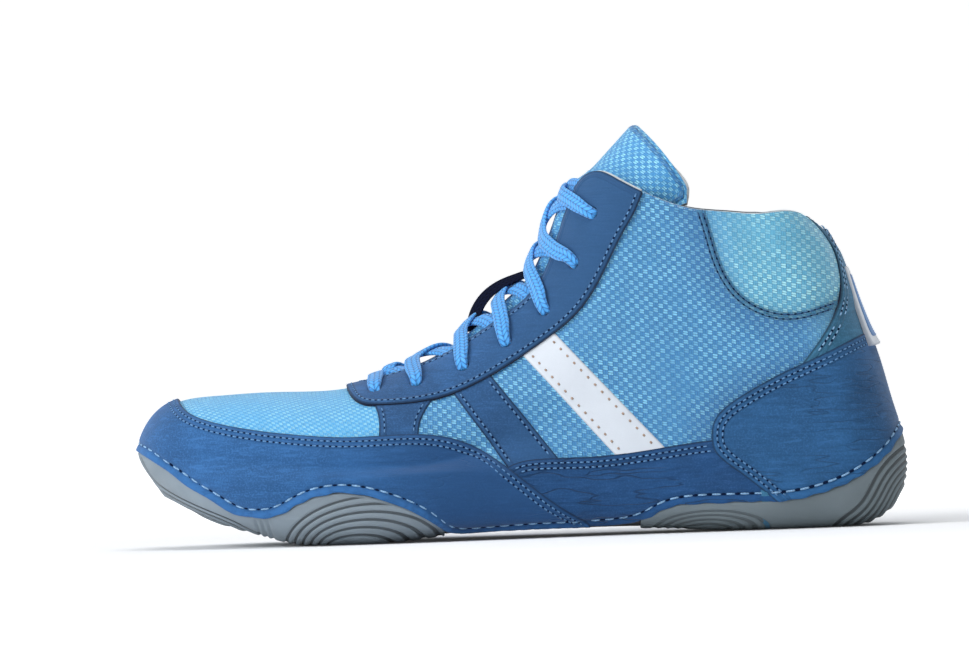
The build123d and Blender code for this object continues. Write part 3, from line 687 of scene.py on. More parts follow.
def nubuck(name, colour, rows=(), crease=0.0, grain=1.0, hem=False, ends=None):
    """Nubuck with a fine nap, cloudy brushing and sunk stitch rows.

    Stitch rows, creases and cut edges are painted darker with shade. hem adds a puckered lip below the hem
    stitches, painted paler as a highlight, and painted shade in their groove; ends is where along x the leather
    starts and finishes turning to another colour, a painted shade, and that colour.
    """
    n = Nodes(name, 0.8, sheen=0.12, specular=0.2)
    dark = shade_of(colour, 0.62)
    pale = shade_of(colour, 1.45, 0.012)
    clouds = n.noise(26, 4, 0.6)
    nap = n.noise(1500, 4, 0.65)
    pores = n.noise(5200, 2, 0.6)
    shade = n.mix(n.ramp(clouds, 0.3, 0.72), dark, colour)
    shade = n.mix(n.ramp(nap, 0.42, 0.75, 0.0, 0.55), shade, pale)
    shade = n.mix(n.ramp(pores, 0.56, 0.72, 0.0, 0.4), shade, dark)
    streaks = n.noise(1.0, 3, 0.6, n.place(scale=(110, 110, 900)))
    shade = n.mix(n.ramp(streaks, 0.5, 0.72, 0.0, 0.55), shade, dark)
    shade = n.mix(n.ramp(streaks, 0.3, 0.46, 0.35, 0.0), shade, pale)
    if ends:
        # turns the leather to a darker colour along x: painted shade
        shade = n.towards(shade, ends, 0.8)
    if hem:
        above_hem, _ = n.weave()
        puckers = n.ramp(n.noise(330, 2), 0.35, 0.6, 0.45, 1.0)
        lip = n.times(n.ramp(above_hem, 1.6, 3.0, 0.75, 0.0), puckers)
        # the bulging lip below the hem stitches is painted paler: a painted highlight
        shade = n.mix(lip, shade, shade_of(colour, 1.2))
        # painted shade in the groove of the hem stitches
        shade = n.mix(n.times(n.band(above_hem, 3.3, 0.4), 0.55), shade, dark)
    edge = n.attribute("edge")
    # darker along the cut edges: partly the dark cut edge, partly painted shadow at the edge
    cut_edge_and_shadow = n.ramp(edge, 0.25, 0.95, 1.0, 0.0)
    shade = n.mix(n.times(cut_edge_and_shadow, 0.8), shade, shade_of(colour, 0.22))
    height = n.plus(n.times(nap, 0.5), n.times(pores, 0.35))
    normal = n.bump(height, 0.32 * grain, 0.0004, n.bump(streaks, 0.35 * grain, 0.0004))
    for row in rows:
        groove = n.band(edge, row, 0.45)
        # the stitch row is drawn darker: painted shade in its sunk groove
        shade = n.mix(n.times(groove, 0.45), shade, dark)
        normal = n.groove(groove, 0.55, 0.0005, normal)
    if crease:
        wrinkles = n.noise(1.0, 2, 0.5, n.place(scale=(26, 26, 170), turn=(0, -0.1, 0)))
        folds = n.ramp(n.absolute(n.minus(wrinkles, 0.5)), 0.0, 0.014, 0.0, 1.0)
        here = n.ramp(n.noise(34, 2), 0.46, 0.6)
        depth = n.times(n.minus(1.0, folds), here)
        normal = n.groove(depth, 0.6 * crease, 0.0005, normal)
        soft = n.noise(1.0, 2, 0.5, n.place(scale=(40, 40, 130)))
        normal = n.bump(soft, 0.6 * crease, 0.0022, normal)
        # the creases are drawn darker: painted shade in the folds
        shade = n.mix(n.times(depth, 0.7 * crease), shade, dark)
    return n.finish(shade, normal)


ROW_SLANT = 0.22          # the mesh's rows of blocks go down to the heel at this slope


def basket_mesh(name, pale, mid, gap, pitch=(1.8, 1.7), rows=(), ends=None, shadow=None):
    """Basket weave: blocks of shiny flat-lying yarns between blocks of upright ones.

    The flat-lying blocks are painted pale as a highlight and the gaps between yarns dark with painted shade;
    stitch rows are darker with painted shade. ends is where along x the cloth starts and finishes turning to a
    further colour (on the quarter a painted light), and that colour.
    shadow is how far from its edge the cloth stays a little darker.
    """
    n = Nodes(name, 0.5, sheen=0.2, specular=0.4)
    across, along = n.weave()
    wobble = n.times(n.minus(n.noise(70, 2), 0.5), 0.8)
    slanted = n.math("MULTIPLY_ADD", across, ROW_SLANT, along)
    a = n.plus(n.math("DIVIDE", across, pitch[0]), wobble)
    b = n.plus(n.math("DIVIDE", slanted, pitch[1]), wobble)
    cell = n.add("CombineXYZ")
    n.link(n.math("FLOOR", a), cell.inputs[0])
    n.link(n.math("FLOOR", b), cell.inputs[1])
    lot = n.add("TexWhiteNoise")
    n.link(cell.outputs[0], lot.inputs["Vector"])
    parity = n.math("PINGPONG", n.plus(n.math("FLOOR", a), n.math("FLOOR", b)), 1.0)
    in_a = n.math("FRACT", a)
    in_b = n.math("FRACT", b)

    def hump(value, power):
        bow = n.math("SINE", n.times(value, math.pi))
        return n.math("POWER", n.math("MAXIMUM", bow, 0.0), power)

    def yarns(value, count):
        wave = n.absolute(n.math("SINE", n.times(value, math.pi * count)))
        return n.math("POWER", wave, 0.6)

    flat_way = n.times(hump(in_a, 0.3), yarns(in_b, 2))
    up_way = n.times(hump(in_b, 0.3), yarns(in_a, 2))
    # flat-lying yarns painted pale as a highlight, the gaps between yarns painted dark as shade
    flat_shade = n.mix(n.ramp(flat_way, 0.1, 0.7), gap, pale)
    up_shade = n.mix(n.ramp(up_way, 0.0, 0.7, 0.35, 1.0), gap, mid)
    shade = n.mix(parity, up_shade, flat_shade)
    shade = n.mix(n.times(lot.outputs["Value"], 0.55), shade, mid)
    shade = n.mix(n.ramp(n.noise(30, 3), 0.42, 0.7, 0.0, 0.45), shade, mid)
    shade = n.mix(n.ramp(n.noise(1400, 2), 0.5, 0.8, 0.0, 0.4), shade, gap)
    if ends:
        shade = n.towards(shade, ends, 0.6)
    if shadow:
        shade = n.mix(n.ramp(n.attribute("edge"), 1.0, shadow, 0.32, 0.0), shade, gap)
    low = n.times(n.times(up_way, 0.5), n.minus(1.0, parity))
    height = n.plus(n.times(flat_way, parity), low)
    normal = n.bump(height, 0.7, 0.0005)
    edge = n.attribute("edge")
    for row in rows:
        groove = n.band(edge, row, 0.6)
        # the stitch row is drawn darker: painted shade in its sunk groove
        shade = n.mix(n.times(groove, 0.5), shade, gap)
        normal = n.groove(groove, 0.7, 0.0009, normal)
    return n.finish(shade, normal)


def cloth(name, colour, scale=900.0):
    """Brushed lining cloth with a fine knit."""
    n = Nodes(name, 0.9, sheen=0.4, specular=0.2)
    knit = n.add("TexWave", wave_type="BANDS", bands_direction="DIAGONAL")
    n.link(n.place(), knit.inputs["Vector"])
    knit.inputs["Scale"].default_value = scale
    knit.inputs["Distortion"].default_value = 3.0
    fuzz = n.noise(2600, 3, 0.6)
    dark = shade_of(colour, 0.75)
    shade = n.mix(n.ramp(fuzz, 0.35, 0.7), dark, colour)
    shade = n.mix(n.ramp(n.noise(45, 3), 0.4, 0.8, 0.0, 0.25), shade, dark)
    height = n.plus(n.times(knit.outputs["Fac"], 0.5), fuzz)
    return n.finish(shade, n.bump(height, 0.4, 0.0003))


def rubber(name, colour):
    """Matt moulded rubber: grooves along a ring number, faint mould texture, scuffs and dust."""
    n = Nodes(name, 0.6, specular=0.35)
    pale = shade_of(colour, 1.4, 0.02)
    dark = shade_of(colour, 0.22)
    shade = n.mix(n.ramp(n.noise(34, 4), 0.35, 0.75, 0.0, 0.5), colour, pale)
    scuffs = n.noise(1.0, 4, 0.6, n.place(scale=(60, 60, 420)))
    shade = n.mix(n.ramp(scuffs, 0.6, 0.78, 0.0, 0.2), shade, pale)
    ring, spacing = n.weave()
    off = n.minus(n.math("FRACT", n.plus(ring, 0.5)), 0.5)
    far = n.times(n.absolute(off), spacing)
    # the grooves are drawn dark: painted shade in the grooves
    line = n.times(n.ramp(far, 0.22, 0.62, 1.0, 0.0), n.attribute("edge"))
    shade = n.mix(n.times(line, 0.85), shade, dark)
    grain = n.noise(2400, 3, 0.6)
    normal = n.groove(line, 0.8, 0.0008, n.bump(grain, 0.18, 0.0003))
    rough = n.ramp(n.noise(60, 3), 0.3, 0.8, 0.5, 0.72)
    return n.finish(shade, normal, rough)


BRAID_COLUMN = 1.95       # width of one column of yarns


def braid(name, colour, dark, sheen=0.3, gloss=0.4):
    """Flat tubular braid: slanting yarns that cross in a herringbone."""
    n = Nodes(name, 0.9 - gloss, sheen=sheen, specular=gloss)
    across, along = n.weave()
    shifted = n.plus(across, 5 * BRAID_COLUMN)
    column = n.absolute(n.math("SINE", n.times(shifted, math.pi / BRAID_COLUMN)))
    slant = n.times(n.math("PINGPONG", shifted, BRAID_COLUMN), 0.9)
    leaning = n.plus(along, slant)
    yarn = n.absolute(n.math("SINE", n.times(leaning, math.pi / 1.9)))
    strand = n.absolute(n.math("SINE", n.times(leaning, math.pi / 0.63)))
    body = n.times(n.math("POWER", yarn, 0.5), n.math("POWER", column, 0.4))
    height = n.times(body, n.plus(0.75, n.times(strand, 0.25)))
    # yarn crowns painted pale as a sheen highlight, hollows between yarns painted with the dark colour as shade
    pale = shade_of(colour, 1.3, 0.2 * sheen)
    shade = n.mix(n.ramp(height, 0.05, 0.6), dark, colour)
    shade = n.mix(n.ramp(height, 0.75, 1.0, 0.0, 0.6), shade, pale)
    return n.finish(shade, n.bump(height, 0.75, 0.0005))


def thread(name, colour, gloss=0.4):
    """Twisted sewing thread."""
    n = Nodes(name, 0.6, specular=gloss)
    dark = shade_of(colour, 0.55)
    twist = n.noise(2200, 2, 0.5)
    return n.finish(n.mix(n.ramp(twist, 0.35, 0.65), dark, colour), n.bump(twist, 0.3, 0.0002))


def smooth_leather(name, colour, tone_and_edge_shade):
    """Smooth white leather with faint creases, random tone and painted shade darkening it towards its edges."""
    n = Nodes(name, 0.42, specular=0.45)
    shade = n.mix(n.ramp(n.noise(60, 4), 0.4, 0.8, 0.0, 0.3), colour, tone_and_edge_shade)
    edge = n.attribute("edge")
    # darker towards the edges: painted edge shade
    shade = n.mix(n.ramp(edge, 0.1, 0.7, 0.6, 0.0), shade, tone_and_edge_shade)
    grain = n.noise(1900, 4, 0.6)
    return n.finish(shade, n.bump(grain, 0.15, 0.0003))


# one nubuck in lit and shaded copies: the front colour is painted paler where light falls on the toe, the arch
# colour painted darker with shade over the arch rands
NUBUCK_BLUE = srgb(40, 90, 138)
NUBUCK_SHADED_ARCH = srgb(30, 74, 122)
NUBUCK_LIT_FRONT = srgb(46, 98, 154)
NUBUCK_STAY = srgb(45, 90, 140)

# the toe rand turns to a darker colour towards its rear: painted shade
rand_leather = nubuck("nubuck_rand", NUBUCK_LIT_FRONT, rows=(2.0, 4.0), crease=0.6, hem=True,
                      ends=(-0.09, -0.02, srgb(30, 70, 116)))
shaded_arch_leather = nubuck("nubuck_arch_shaded", NUBUCK_SHADED_ARCH, rows=(2.0, 4.0), crease=1.3, hem=True)
counter_leather = nubuck("nubuck_counter", NUBUCK_BLUE, rows=(2.0, 4.0), crease=1.1, hem=True)
# the eyestay turns to a darker colour towards the rear: painted shade
stay_leather = nubuck("nubuck_eyestay", NUBUCK_STAY, rows=(2.0,), grain=1.4,
                      ends=(-0.03, 0.025, srgb(38, 76, 116)))
back_leather = nubuck("nubuck_backstay", srgb(56, 112, 146), rows=(2.0, 4.0), crease=0.2)
cut_leather = nubuck("nubuck_cut_edge", srgb(24, 46, 84))
vamp_cloth = basket_mesh("mesh_vamp", srgb(160, 228, 252), srgb(82, 174, 230), srgb(30, 108, 180), (1.5, 1.3))
# the quarter mesh turns a paler cyan towards the heel: painted light
quarter_cloth = basket_mesh("mesh_quarter", srgb(130, 202, 236), srgb(58, 130, 184), srgb(14, 68, 126),
                            ends=(0.104, 0.126, srgb(128, 196, 220)), shadow=15.0)
collar_cloth = basket_mesh("mesh_collar", srgb(172, 232, 242), srgb(92, 168, 202), srgb(24, 88, 132),
                           rows=(0.6, 2.3), ends=(0.094, 0.068, srgb(64, 128, 180)), shadow=8.0)
tongue_cloth = basket_mesh("mesh_tongue", srgb(144, 216, 244), srgb(62, 144, 202), srgb(16, 78, 142),
                           (1.75, 1.65), rows=(3.0,))
lining_cloth = cloth("lining_white", srgb(208, 216, 222))
sock_cloth = cloth("sockliner_grey", srgb(150, 160, 172), scale=600)
sole_rubber = rubber("sole_rubber_grey", srgb(122, 135, 145))
# the heel pod's rubber: the same rubber painted darker with shade
shaded_heel_rubber = rubber("sole_rubber_heel_shaded", srgb(104, 116, 122))
arch_rubber = rubber("sole_rubber_dark", srgb(64, 66, 68))
lace_braid = braid("lace_braid", srgb(66, 158, 232), srgb(18, 74, 142))
web_black = braid("webbing_black", srgb(14, 20, 42), srgb(4, 6, 14), sheen=0.0, gloss=0.05)
blue_thread = thread("thread_blue", srgb(98, 148, 198))
hem_thread = thread("thread_hem", srgb(140, 184, 224))
dark_thread = thread("thread_dark", srgb(38, 78, 128))
# colour of the painted shade in the needle holes
needle_hole_shade = thread("needle_hole_shade", srgb(10, 28, 60), gloss=0.05)
tan_thread = thread("thread_tan", srgb(176, 152, 136))
white_leather = smooth_leather("white_leather", srgb(206, 213, 222), srgb(168, 174, 184))
badge_white = smooth_leather("badge_white", srgb(206, 212, 220), srgb(140, 148, 160))
badge_blue = smooth_leather("badge_blue", srgb(60, 120, 180), srgb(34, 74, 130))


# ---------------------------------------------------------------- surfaces and distances
DETAIL = 1.0
over = Grid(np.linspace(0.015, 0.985, int(440 * DETAIL)), np.linspace(0.0, 2.0, int(400 * DETAIL) | 1))
under = Grid(np.linspace(0.015, 0.985, int(440 * DETAIL)), np.linspace(-1.0, 1.0, int(400 * DETAIL) | 1))


OUTLINES = {"above_hem": HEM, "under_collar": COLLAR, "rand": RAND_TOP, "arch": ARCH_TOP, "counter": COUNTER,
            "backstay": BACKSTAY, "eyestay": EYESTAY, "collar_panel": COLLAR_SEAM, "insole": INSOLE}


class Fields:
    """Distances from every outline over one grid."""

    def __init__(self, grid):
        self.grid = grid
        for name, outline in OUTLINES.items():
            setattr(self, name, beside(grid, outline))
        wave = 0.28 * np.sin(grid.x / 1.7 + grid.z / 1.4) + 0.2 * np.sin(grid.x / 4.3 - grid.z / 3.1 + 1)
        self.leather_hem = self.above_hem + wave * np.where(grid.z > 4.5, 1.0, 0.2)
        self.off_slot = np.abs(grid.y) - throat_half_width(grid.x)
        self.stay_top = rounded(self.under_collar, self.off_slot, 7.0)
        lip = 0.75 * np.exp(-(self.above_hem / 1.6) ** 2)
        self.flare = lip - 0.4 * np.exp(-((self.above_hem - HEM_ROW) / 0.8) ** 2)

    def cut(self, rows, cols):
        """The same distances over part of the grid."""
        part = object.__new__(Fields)
        for key, value in self.__dict__.items():
            setattr(part, key, value.part(rows, cols) if isinstance(value, Grid) else value[rows, cols])
        return part


whole = Fields(over)
back = Fields(under)
half = over.points.shape[1] // 2
rows_all = slice(0, over.points.shape[0])
sides = {"lateral": whole.cut(rows_all, slice(0, half + 1)), "medial": whole.cut(rows_all, slice(half, None))}


# ---------------------------------------------------------------- leather
def replaced(piece, *nodes, slot):
    """Hides the CAD parts that a piece stands for; the slot is not used."""
    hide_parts(*nodes)


def build_rand():
    """Toe rand: wraps the toe and runs back to the arch on both sides."""
    f = whole
    inside = lower_of(f.rand, f.leather_hem, TOE_RAND_END - f.grid.x)
    piece = panel("toe_rand", f.grid, inside, 0.0, [rand_leather, cut_leather], edge=f.rand, relief=f.flare,
                  weave=(f.above_hem, f.grid.z))
    replaced(piece, "toe_rand", "toe_puff", slot="blue_nubuck")
    stitches("stitch_toe_rand", double_rows(f.grid, f.rand, f.above_hem, 1.5), blue_thread)


def build_arch():
    """Arch rands, one each side, under the toe rand's tail and the heel counter."""
    for side, f in sides.items():
        covered = lower_of(UNDERLAP - f.rand, UNDERLAP - f.counter)
        inside = lower_of(f.arch, f.leather_hem, covered, f.grid.x + 12, 110 - f.grid.x)
        piece = panel(f"arch_rand_{side}", f.grid, inside, ARCH_DEPTH, [shaded_arch_leather, cut_leather], edge=f.arch,
                      relief=f.flare, weave=(f.above_hem, f.grid.z))
        replaced(piece, f"arch_rand_{side}", slot="blue_nubuck")
        lines = double_rows(f.grid, f.arch, lower_of(-f.rand, -f.counter), 0.6)
        stitches(f"stitch_arch_{side}", lines, blue_thread, depth=ARCH_DEPTH)


def build_heel():
    """Heel counter and backstay, each one piece round the heel."""
    f = back
    behind = f.grid.x - HEEL_START
    inside = lower_of(f.counter, f.leather_hem, behind)
    piece = panel("heel_counter", f.grid, inside, COUNTER_DEPTH, [counter_leather, cut_leather],
                  edge=f.counter, relief=f.flare, weave=(f.above_hem, f.grid.z))
    replaced(piece, "heel_counter", "heel_stiffener", slot="blue_nubuck")
    lines = double_rows(f.grid, f.counter, lower_of(f.above_hem, behind), 1.0)
    stitches("stitch_counter", lines, blue_thread, depth=COUNTER_DEPTH)
    inside = lower_of(f.backstay, UNDERLAP - f.counter, f.under_collar, f.grid.x - 90)
    piece = panel("backstay", f.grid, inside, BACKSTAY_DEPTH, [back_leather, cut_leather], edge=f.backstay,
                  relief=step_between(f.collar_panel, -4.0, 5.0) * step_between(f.under_collar, 0.0, 9.0))
    replaced(piece, "backstay", slot="blue_nubuck")
    rear, above_heel = f.grid.x - 95, f.grid.z - 45
    stretches = [
        ("low", lower_of(-f.counter, -4.5 - f.collar_panel, rear, above_heel), 0.15),
        ("middle", lower_of(f.collar_panel + 4.5, 5.0 - f.collar_panel, rear, above_heel), -0.35),
        ("high", lower_of(f.under_collar, f.collar_panel - 5.0, rear), -0.62),
    ]
    for name, where, depth in stretches:
        lines = double_rows(f.grid, f.backstay, where, 0.3)
        stitches(f"stitch_backstay_{name}", lines, hem_thread, depth=depth)


def eyelet_points():
    """For each side, the punched holes' places on the last, from the toe up."""
    found = {}
    for side, f in sides.items():
        places = []
        for x, z in EYELETS:
            far = (f.grid.x - x) ** 2 + (f.grid.z - z) ** 2 + 400.0 * (np.abs(f.grid.y) < 10)
            near = np.argsort(far.ravel())[:4]
            weight = 1 / (far.ravel()[near] + 1e-3)
            weight = (weight / weight.sum())[:, None]
            point, normal = ((rows.reshape(-1, 3)[near] * weight).sum(axis=0)
                             for rows in (f.grid.points, f.grid.normals))
            places.append((point, unit(normal)))
        found[side] = places
    return found


HOLES = eyelet_points()


def off_holes(grid, side):
    """Distance outside the nearest punched eyelet."""
    far = [np.linalg.norm(grid.points - point, axis=2) for point, _ in HOLES[side]]
    return np.minimum.reduce(far) - EYELET_RADIUS


def build_strap(name, grid, front, rear, between, depth, materials, slot):
    """A strap between two outlines; gives the distances from them."""
    front, rear = beside(grid, front), beside(grid, rear)
    piece = panel(name, grid, lower_of(front, rear, between), depth, materials, edge=lower_of(front, rear))
    replaced(piece, name, slot=slot)
    return front, rear


def build_side(side, f):
    """One side's eyestay with its punched eyelets, the tab below it and the two stripes."""
    grid = f.grid
    blue = [stay_leather, cut_leather]
    holes = off_holes(grid, side)
    edge = lower_of(f.eyestay, f.stay_top)
    inside = lower_of(edge, holes, grid.x + 66, grid.z - 40)
    piece = panel(f"eyestay_{side}", grid, inside, STAY_DEPTH, blue, edge=edge, thickness=1.6)
    replaced(piece, f"eyestay_{side}", slot="blue_nubuck")
    row = STITCH_ROWS[0]
    lines = contour(grid, f.eyestay, row, lower_of(f.under_collar, f.off_slot), 1.0)
    lines += contour(grid, f.off_slot, row, lower_of(f.eyestay, f.under_collar, holes, 12 - grid.x), 1.5)
    stitches(f"stitch_eyestay_{side}", lines, blue_thread, depth=STAY_DEPTH)

    covered = lower_of(STRAP_UNDERLAP - f.eyestay, STRAP_UNDERLAP - f.rand)
    clear = lower_of(-f.eyestay, -f.rand)
    front, rear = build_strap(f"eyestay_tab_{side}", grid, TAB_FRONT, TAB_REAR,
                              lower_of(covered, grid.z - 30), TAB_DEPTH, blue, "blue_nubuck")
    lines = contour(grid, front, row, clear, 0.6) + contour(grid, rear, row, lower_of(clear, front), 0.6)

    covered = lower_of(covered, STRAP_UNDERLAP - f.arch, grid.z - 20)
    clear = lower_of(clear, -f.arch)
    front, rear = build_strap(f"side_stripe_{side}", grid, SIDE_STRIPE_FRONT, SIDE_STRIPE_REAR,
                              covered, STRIPE_DEPTH, blue, "blue_nubuck")
    lines += contour(grid, front, row, clear, 0.6) + contour(grid, rear, row, clear, 0.6)
    stitches(f"stitch_tab_stripe_{side}", lines, blue_thread, depth=TAB_DEPTH)

    front, rear = build_strap(f"white_stripe_{side}", grid, WHITE_STRIPE_FRONT, WHITE_STRIPE_REAR,
                              covered, STRIPE_DEPTH, [white_leather, white_leather], "white_leather")
    lines = contour(grid, front, WHITE_ROW, clear, 0.6) + contour(grid, rear, WHITE_ROW, clear, 0.6)
    stitches(f"stitch_white_stripe_{side}", lines, tan_thread, pitch=3.6, length=1.3, width=0.9, height=0.5,
             depth=0.72, holes=False)


# ---------------------------------------------------------------- mesh, collar and lining
NO_EDGE = 9.0             # an edge distance so large that no stitch row or painted edge shade shows


def build_mesh():
    """Mesh vamp and quarters."""
    f = whole
    inside = lower_of(f.above_hem - 1.0, 14.0 - f.rand, -44.5 - f.grid.x, f.off_slot)
    piece = panel("vamp_mesh", f.grid, inside, MESH_DEPTH + 0.1, [vamp_cloth, lining_cloth],
                  weave=(f.grid.run, f.grid.arc), edge=np.full(f.rand.shape, NO_EDGE))
    replaced(piece, "vamp_mesh", "lining_vamp", slot="blue_mesh")
    for side, f in sides.items():
        grid = f.grid
        holes = off_holes(grid, side)
        inside = lower_of(f.above_hem - 1.0, f.under_collar, grid.x + 45, f.off_slot - 0.6, holes - 0.3,
                          12.0 - f.counter, 5.0 - f.collar_panel, 12 - f.arch)
        piece = panel(f"quarter_mesh_{side}", grid, inside, MESH_DEPTH, [quarter_cloth, lining_cloth],
                      edge=lower_of(-f.counter, 1.0 - f.collar_panel))
        replaced(piece, f"quarter_mesh_{side}", slot="blue_mesh")


def collar_swell(f):
    """How far the padded collar stands out of the mesh, from the seam inwards."""
    from_seam = step_between(f.collar_panel, 1.5, 11.0)
    from_rim = step_between(f.under_collar, -1.0, 9.0)
    quilt = 0.35 * np.exp(-((f.collar_panel - 1.45) / 0.6) ** 2)
    from_back = step_between(-f.backstay, 0.0, 8.0)
    return 2.1 * from_seam * (0.35 + 0.65 * from_rim) * (0.45 + 0.55 * from_back) + quilt


def build_collar():
    """Padded collar panel and its two rows of stitches."""
    f = back
    inside = lower_of(f.collar_panel, f.under_collar, f.grid.x - HEEL_START, UNDERLAP - f.backstay)
    piece = panel("collar_pad", f.grid, inside, MESH_DEPTH - 0.25, [collar_cloth, lining_cloth],
                  relief=collar_swell(f), edge=f.collar_panel, thickness=2.0)
    replaced(piece, "collar_padding", slot="foam")
    where = lower_of(f.under_collar, -f.backstay, f.grid.x - HEEL_START)
    for name, level, depth in (("low", 0.6, 0.85), ("high", 2.3, 0.7)):
        stitches(f"stitch_collar_{name}", contour(f.grid, f.collar_panel, level, where, 0.6), dark_thread,
                 pitch=2.6, length=1.9, width=0.45, depth=depth, height=0.6)


def lining_depth(f):
    """Depth of the lining: thin in the quarters, deep behind the padded collar."""
    pad = step_between(f.collar_panel, -4.0, 10.0)
    rim = 1 - 0.45 * step_between(4.0 - f.under_collar, 0.0, 4.0)
    return LINING_DEPTH + (COLLAR_DEPTH - LINING_DEPTH) * pad * rim


def build_lining():
    """Lining of the whole inside."""
    thin = {"thickness": 0.2, "roll": 0.1}
    f = back
    inside = lower_of(f.insole + 1.0, f.under_collar, f.off_slot - 1.0, f.grid.x + 66)
    piece = panel("quarter_lining", f.grid, inside, lining_depth(f), [lining_cloth], **thin)
    replaced(piece, "lining_quarter_lateral", "lining_quarter_medial", "collar_lining", slot="white_lining")
    f = whole
    inside = lower_of(f.insole + 1.0, -62 - f.grid.x)
    piece = panel("vamp_lining", f.grid, inside, LINING_DEPTH, [lining_cloth], **thin)


SOCKLINER_GAP = 5.4       # from the last's surface to the sockliner's edge


def build_sockliner():
    """Soft insole, dished a little, that fills the boot from side to side."""
    line = curve(INSOLE, 12)
    rings = []
    for x in np.linspace(-132, 136, 90):
        z = np.interp(x, line[:, 0], line[:, 1])
        near = np.abs(under.z - z) + np.abs(under.x - x)
        low = under.y < 0
        lateral = under.y.ravel()[np.argmin(np.where(low, near, 1e9))]
        medial = under.y.ravel()[np.argmin(np.where(~low, near, 1e9))]
        t = np.linspace(-1, 1, 30)
        ys = np.linspace(lateral + SOCKLINER_GAP, medial - SOCKLINER_GAP, len(t))
        rings.append(np.stack([np.full(len(t), x), ys, z - 0.4 + 1.6 * t ** 4], axis=1))
    smooth = np.array(rings)
    for _ in range(6):
        smooth[1:-1, :, 1] = averaged(smooth[:, :, 1])
    vertices, faces = sweep(list(smooth), closed_ring=False)
    piece = make_object("sockliner_top", vertices, faces, [sock_cloth])
    replaced(piece, "sockliner", "insole_board", "midsole", slot="foam")


def rim_strip(name, lines, outer, inner, rise):
    """A rolled white edge over lines on the last, from an outer depth to an inner one."""
    for number, line in enumerate(lines):
        place, normal = spaced(line, 1.5)
        up = np.cross(unit(np.gradient(place, axis=0)), normal)
        up = up * np.sign(up[:, 2:3])
        inner_here = inner(place) if callable(inner) else np.full(len(place), inner)
        middle = (outer + inner_here) / 2
        reach = (inner_here - outer) / 2
        rings = []
        turns = np.linspace(0, math.pi, 11)[:, None]
        for p, inward, u, m, r in zip(place, normal, up, middle, reach):
            rings.append(p + inward * (m - r * np.cos(turns)) + u * (rise * np.sin(turns) - 0.3))
        vertices, faces = sweep(rings, closed_ring=False)
        piece = make_object(f"{name}_{number}", vertices, faces, [lining_cloth])


def build_rims():
    """White rolled rim along the collar and a thin one over the eyestays' tops."""
    f = back
    lines = contour(f.grid, f.under_collar, 0.3, lower_of(UNDERLAP - f.eyestay, f.grid.x - 20), 0.0)

    def behind_pad(place):
        return LINING_DEPTH + 2.0 * step_between(place[:, 0], 62, 84)

    rim_strip("collar_rim", lines, MESH_DEPTH, behind_pad, 0.7)
    for side, f in sides.items():
        lines = contour(f.grid, f.stay_top, 0.2, lower_of(f.eyestay, f.grid.z - 104), 0.0)
        rim_strip(f"eyestay_rim_{side}", lines, 0.5, 3.0, 1.1)


# ---------------------------------------------------------------- sole
def ring_number(x, z, centre, half_widths, heights):
    """Number of the moulded ring through each point: ring k is an ellipse that grows with k.

    centre, half_widths and heights give each measure at ring 0 and its growth per ring.
    """
    low, high = np.full(x.shape, -1.5), np.full(x.shape, 9.0)
    for _ in range(18):
        k = (low + high) / 2
        wide = np.maximum(half_widths[0] + half_widths[1] * k, 0.5)
        tall = np.maximum(heights[0] + heights[1] * k, 0.5)
        inside = ((x - centre[0] - centre[1] * k) / wide) ** 2 + ((z - centre[2]) / tall) ** 2 < 1
        low, high = np.where(inside, low, k), np.where(inside, k, high)
    return (low + high) / 2


def groove_field(grid, above):
    """Ring number, spacing in millimetres and strength of the sole's moulded grooves."""
    x, z = grid.x, grid.z
    ball = ring_number(x, z, (-61.5, 1.45, -1.5), (12.65, 4.55), (4.8, 3.0))
    front = ring_number(x, z, (69.0, 0.6, 0.0), (9.0, 4.2), (2.6, 1.7))
    toe = -beside(grid, TOE_GROOVE, flat=True) / 1.35
    behind = -beside(grid, HEEL_GROOVE, flat=True)
    heel = behind / 3.0 + 0.014 * np.maximum(behind, 0) ** 2
    on_side = 1 - step_between(-x, 118, 128) * step_between(grid.y, -8, 4)
    patterns = [
        (ball, 3.05, (ball > -0.4) & (ball < 5.45) & (x > -96.5) & (x < -30.5), 1.0),
        (toe, 2.2, (toe > -0.4) & (toe < 4.6) & (x < -99.5), on_side),
        (front, 2.0, (front > -0.4) & (front < 3.4) & (x > 46.5), 0.6),
        (heel, 2.2, (heel > -0.4) & (heel < 6.4) & (x > 108), 1.0),
    ]
    ring, spacing, strength = np.full(x.shape, 0.5), np.full(x.shape, 3.0), np.zeros(x.shape)
    for number, gap, on, part in patterns:
        near = on.copy()
        for _ in range(2):
            near[1:] |= near[:-1]
            near[:-1] |= near[1:]
            near[:, 1:] |= near[:, :-1]
            near[:, :-1] |= near[:, 1:]
        ring = np.where(near, number, ring)
        spacing = np.where(near, gap, spacing)
        strength = np.where(on, part, strength)
    return ring, spacing, strength * step_between(-above, 0.6, 1.6)


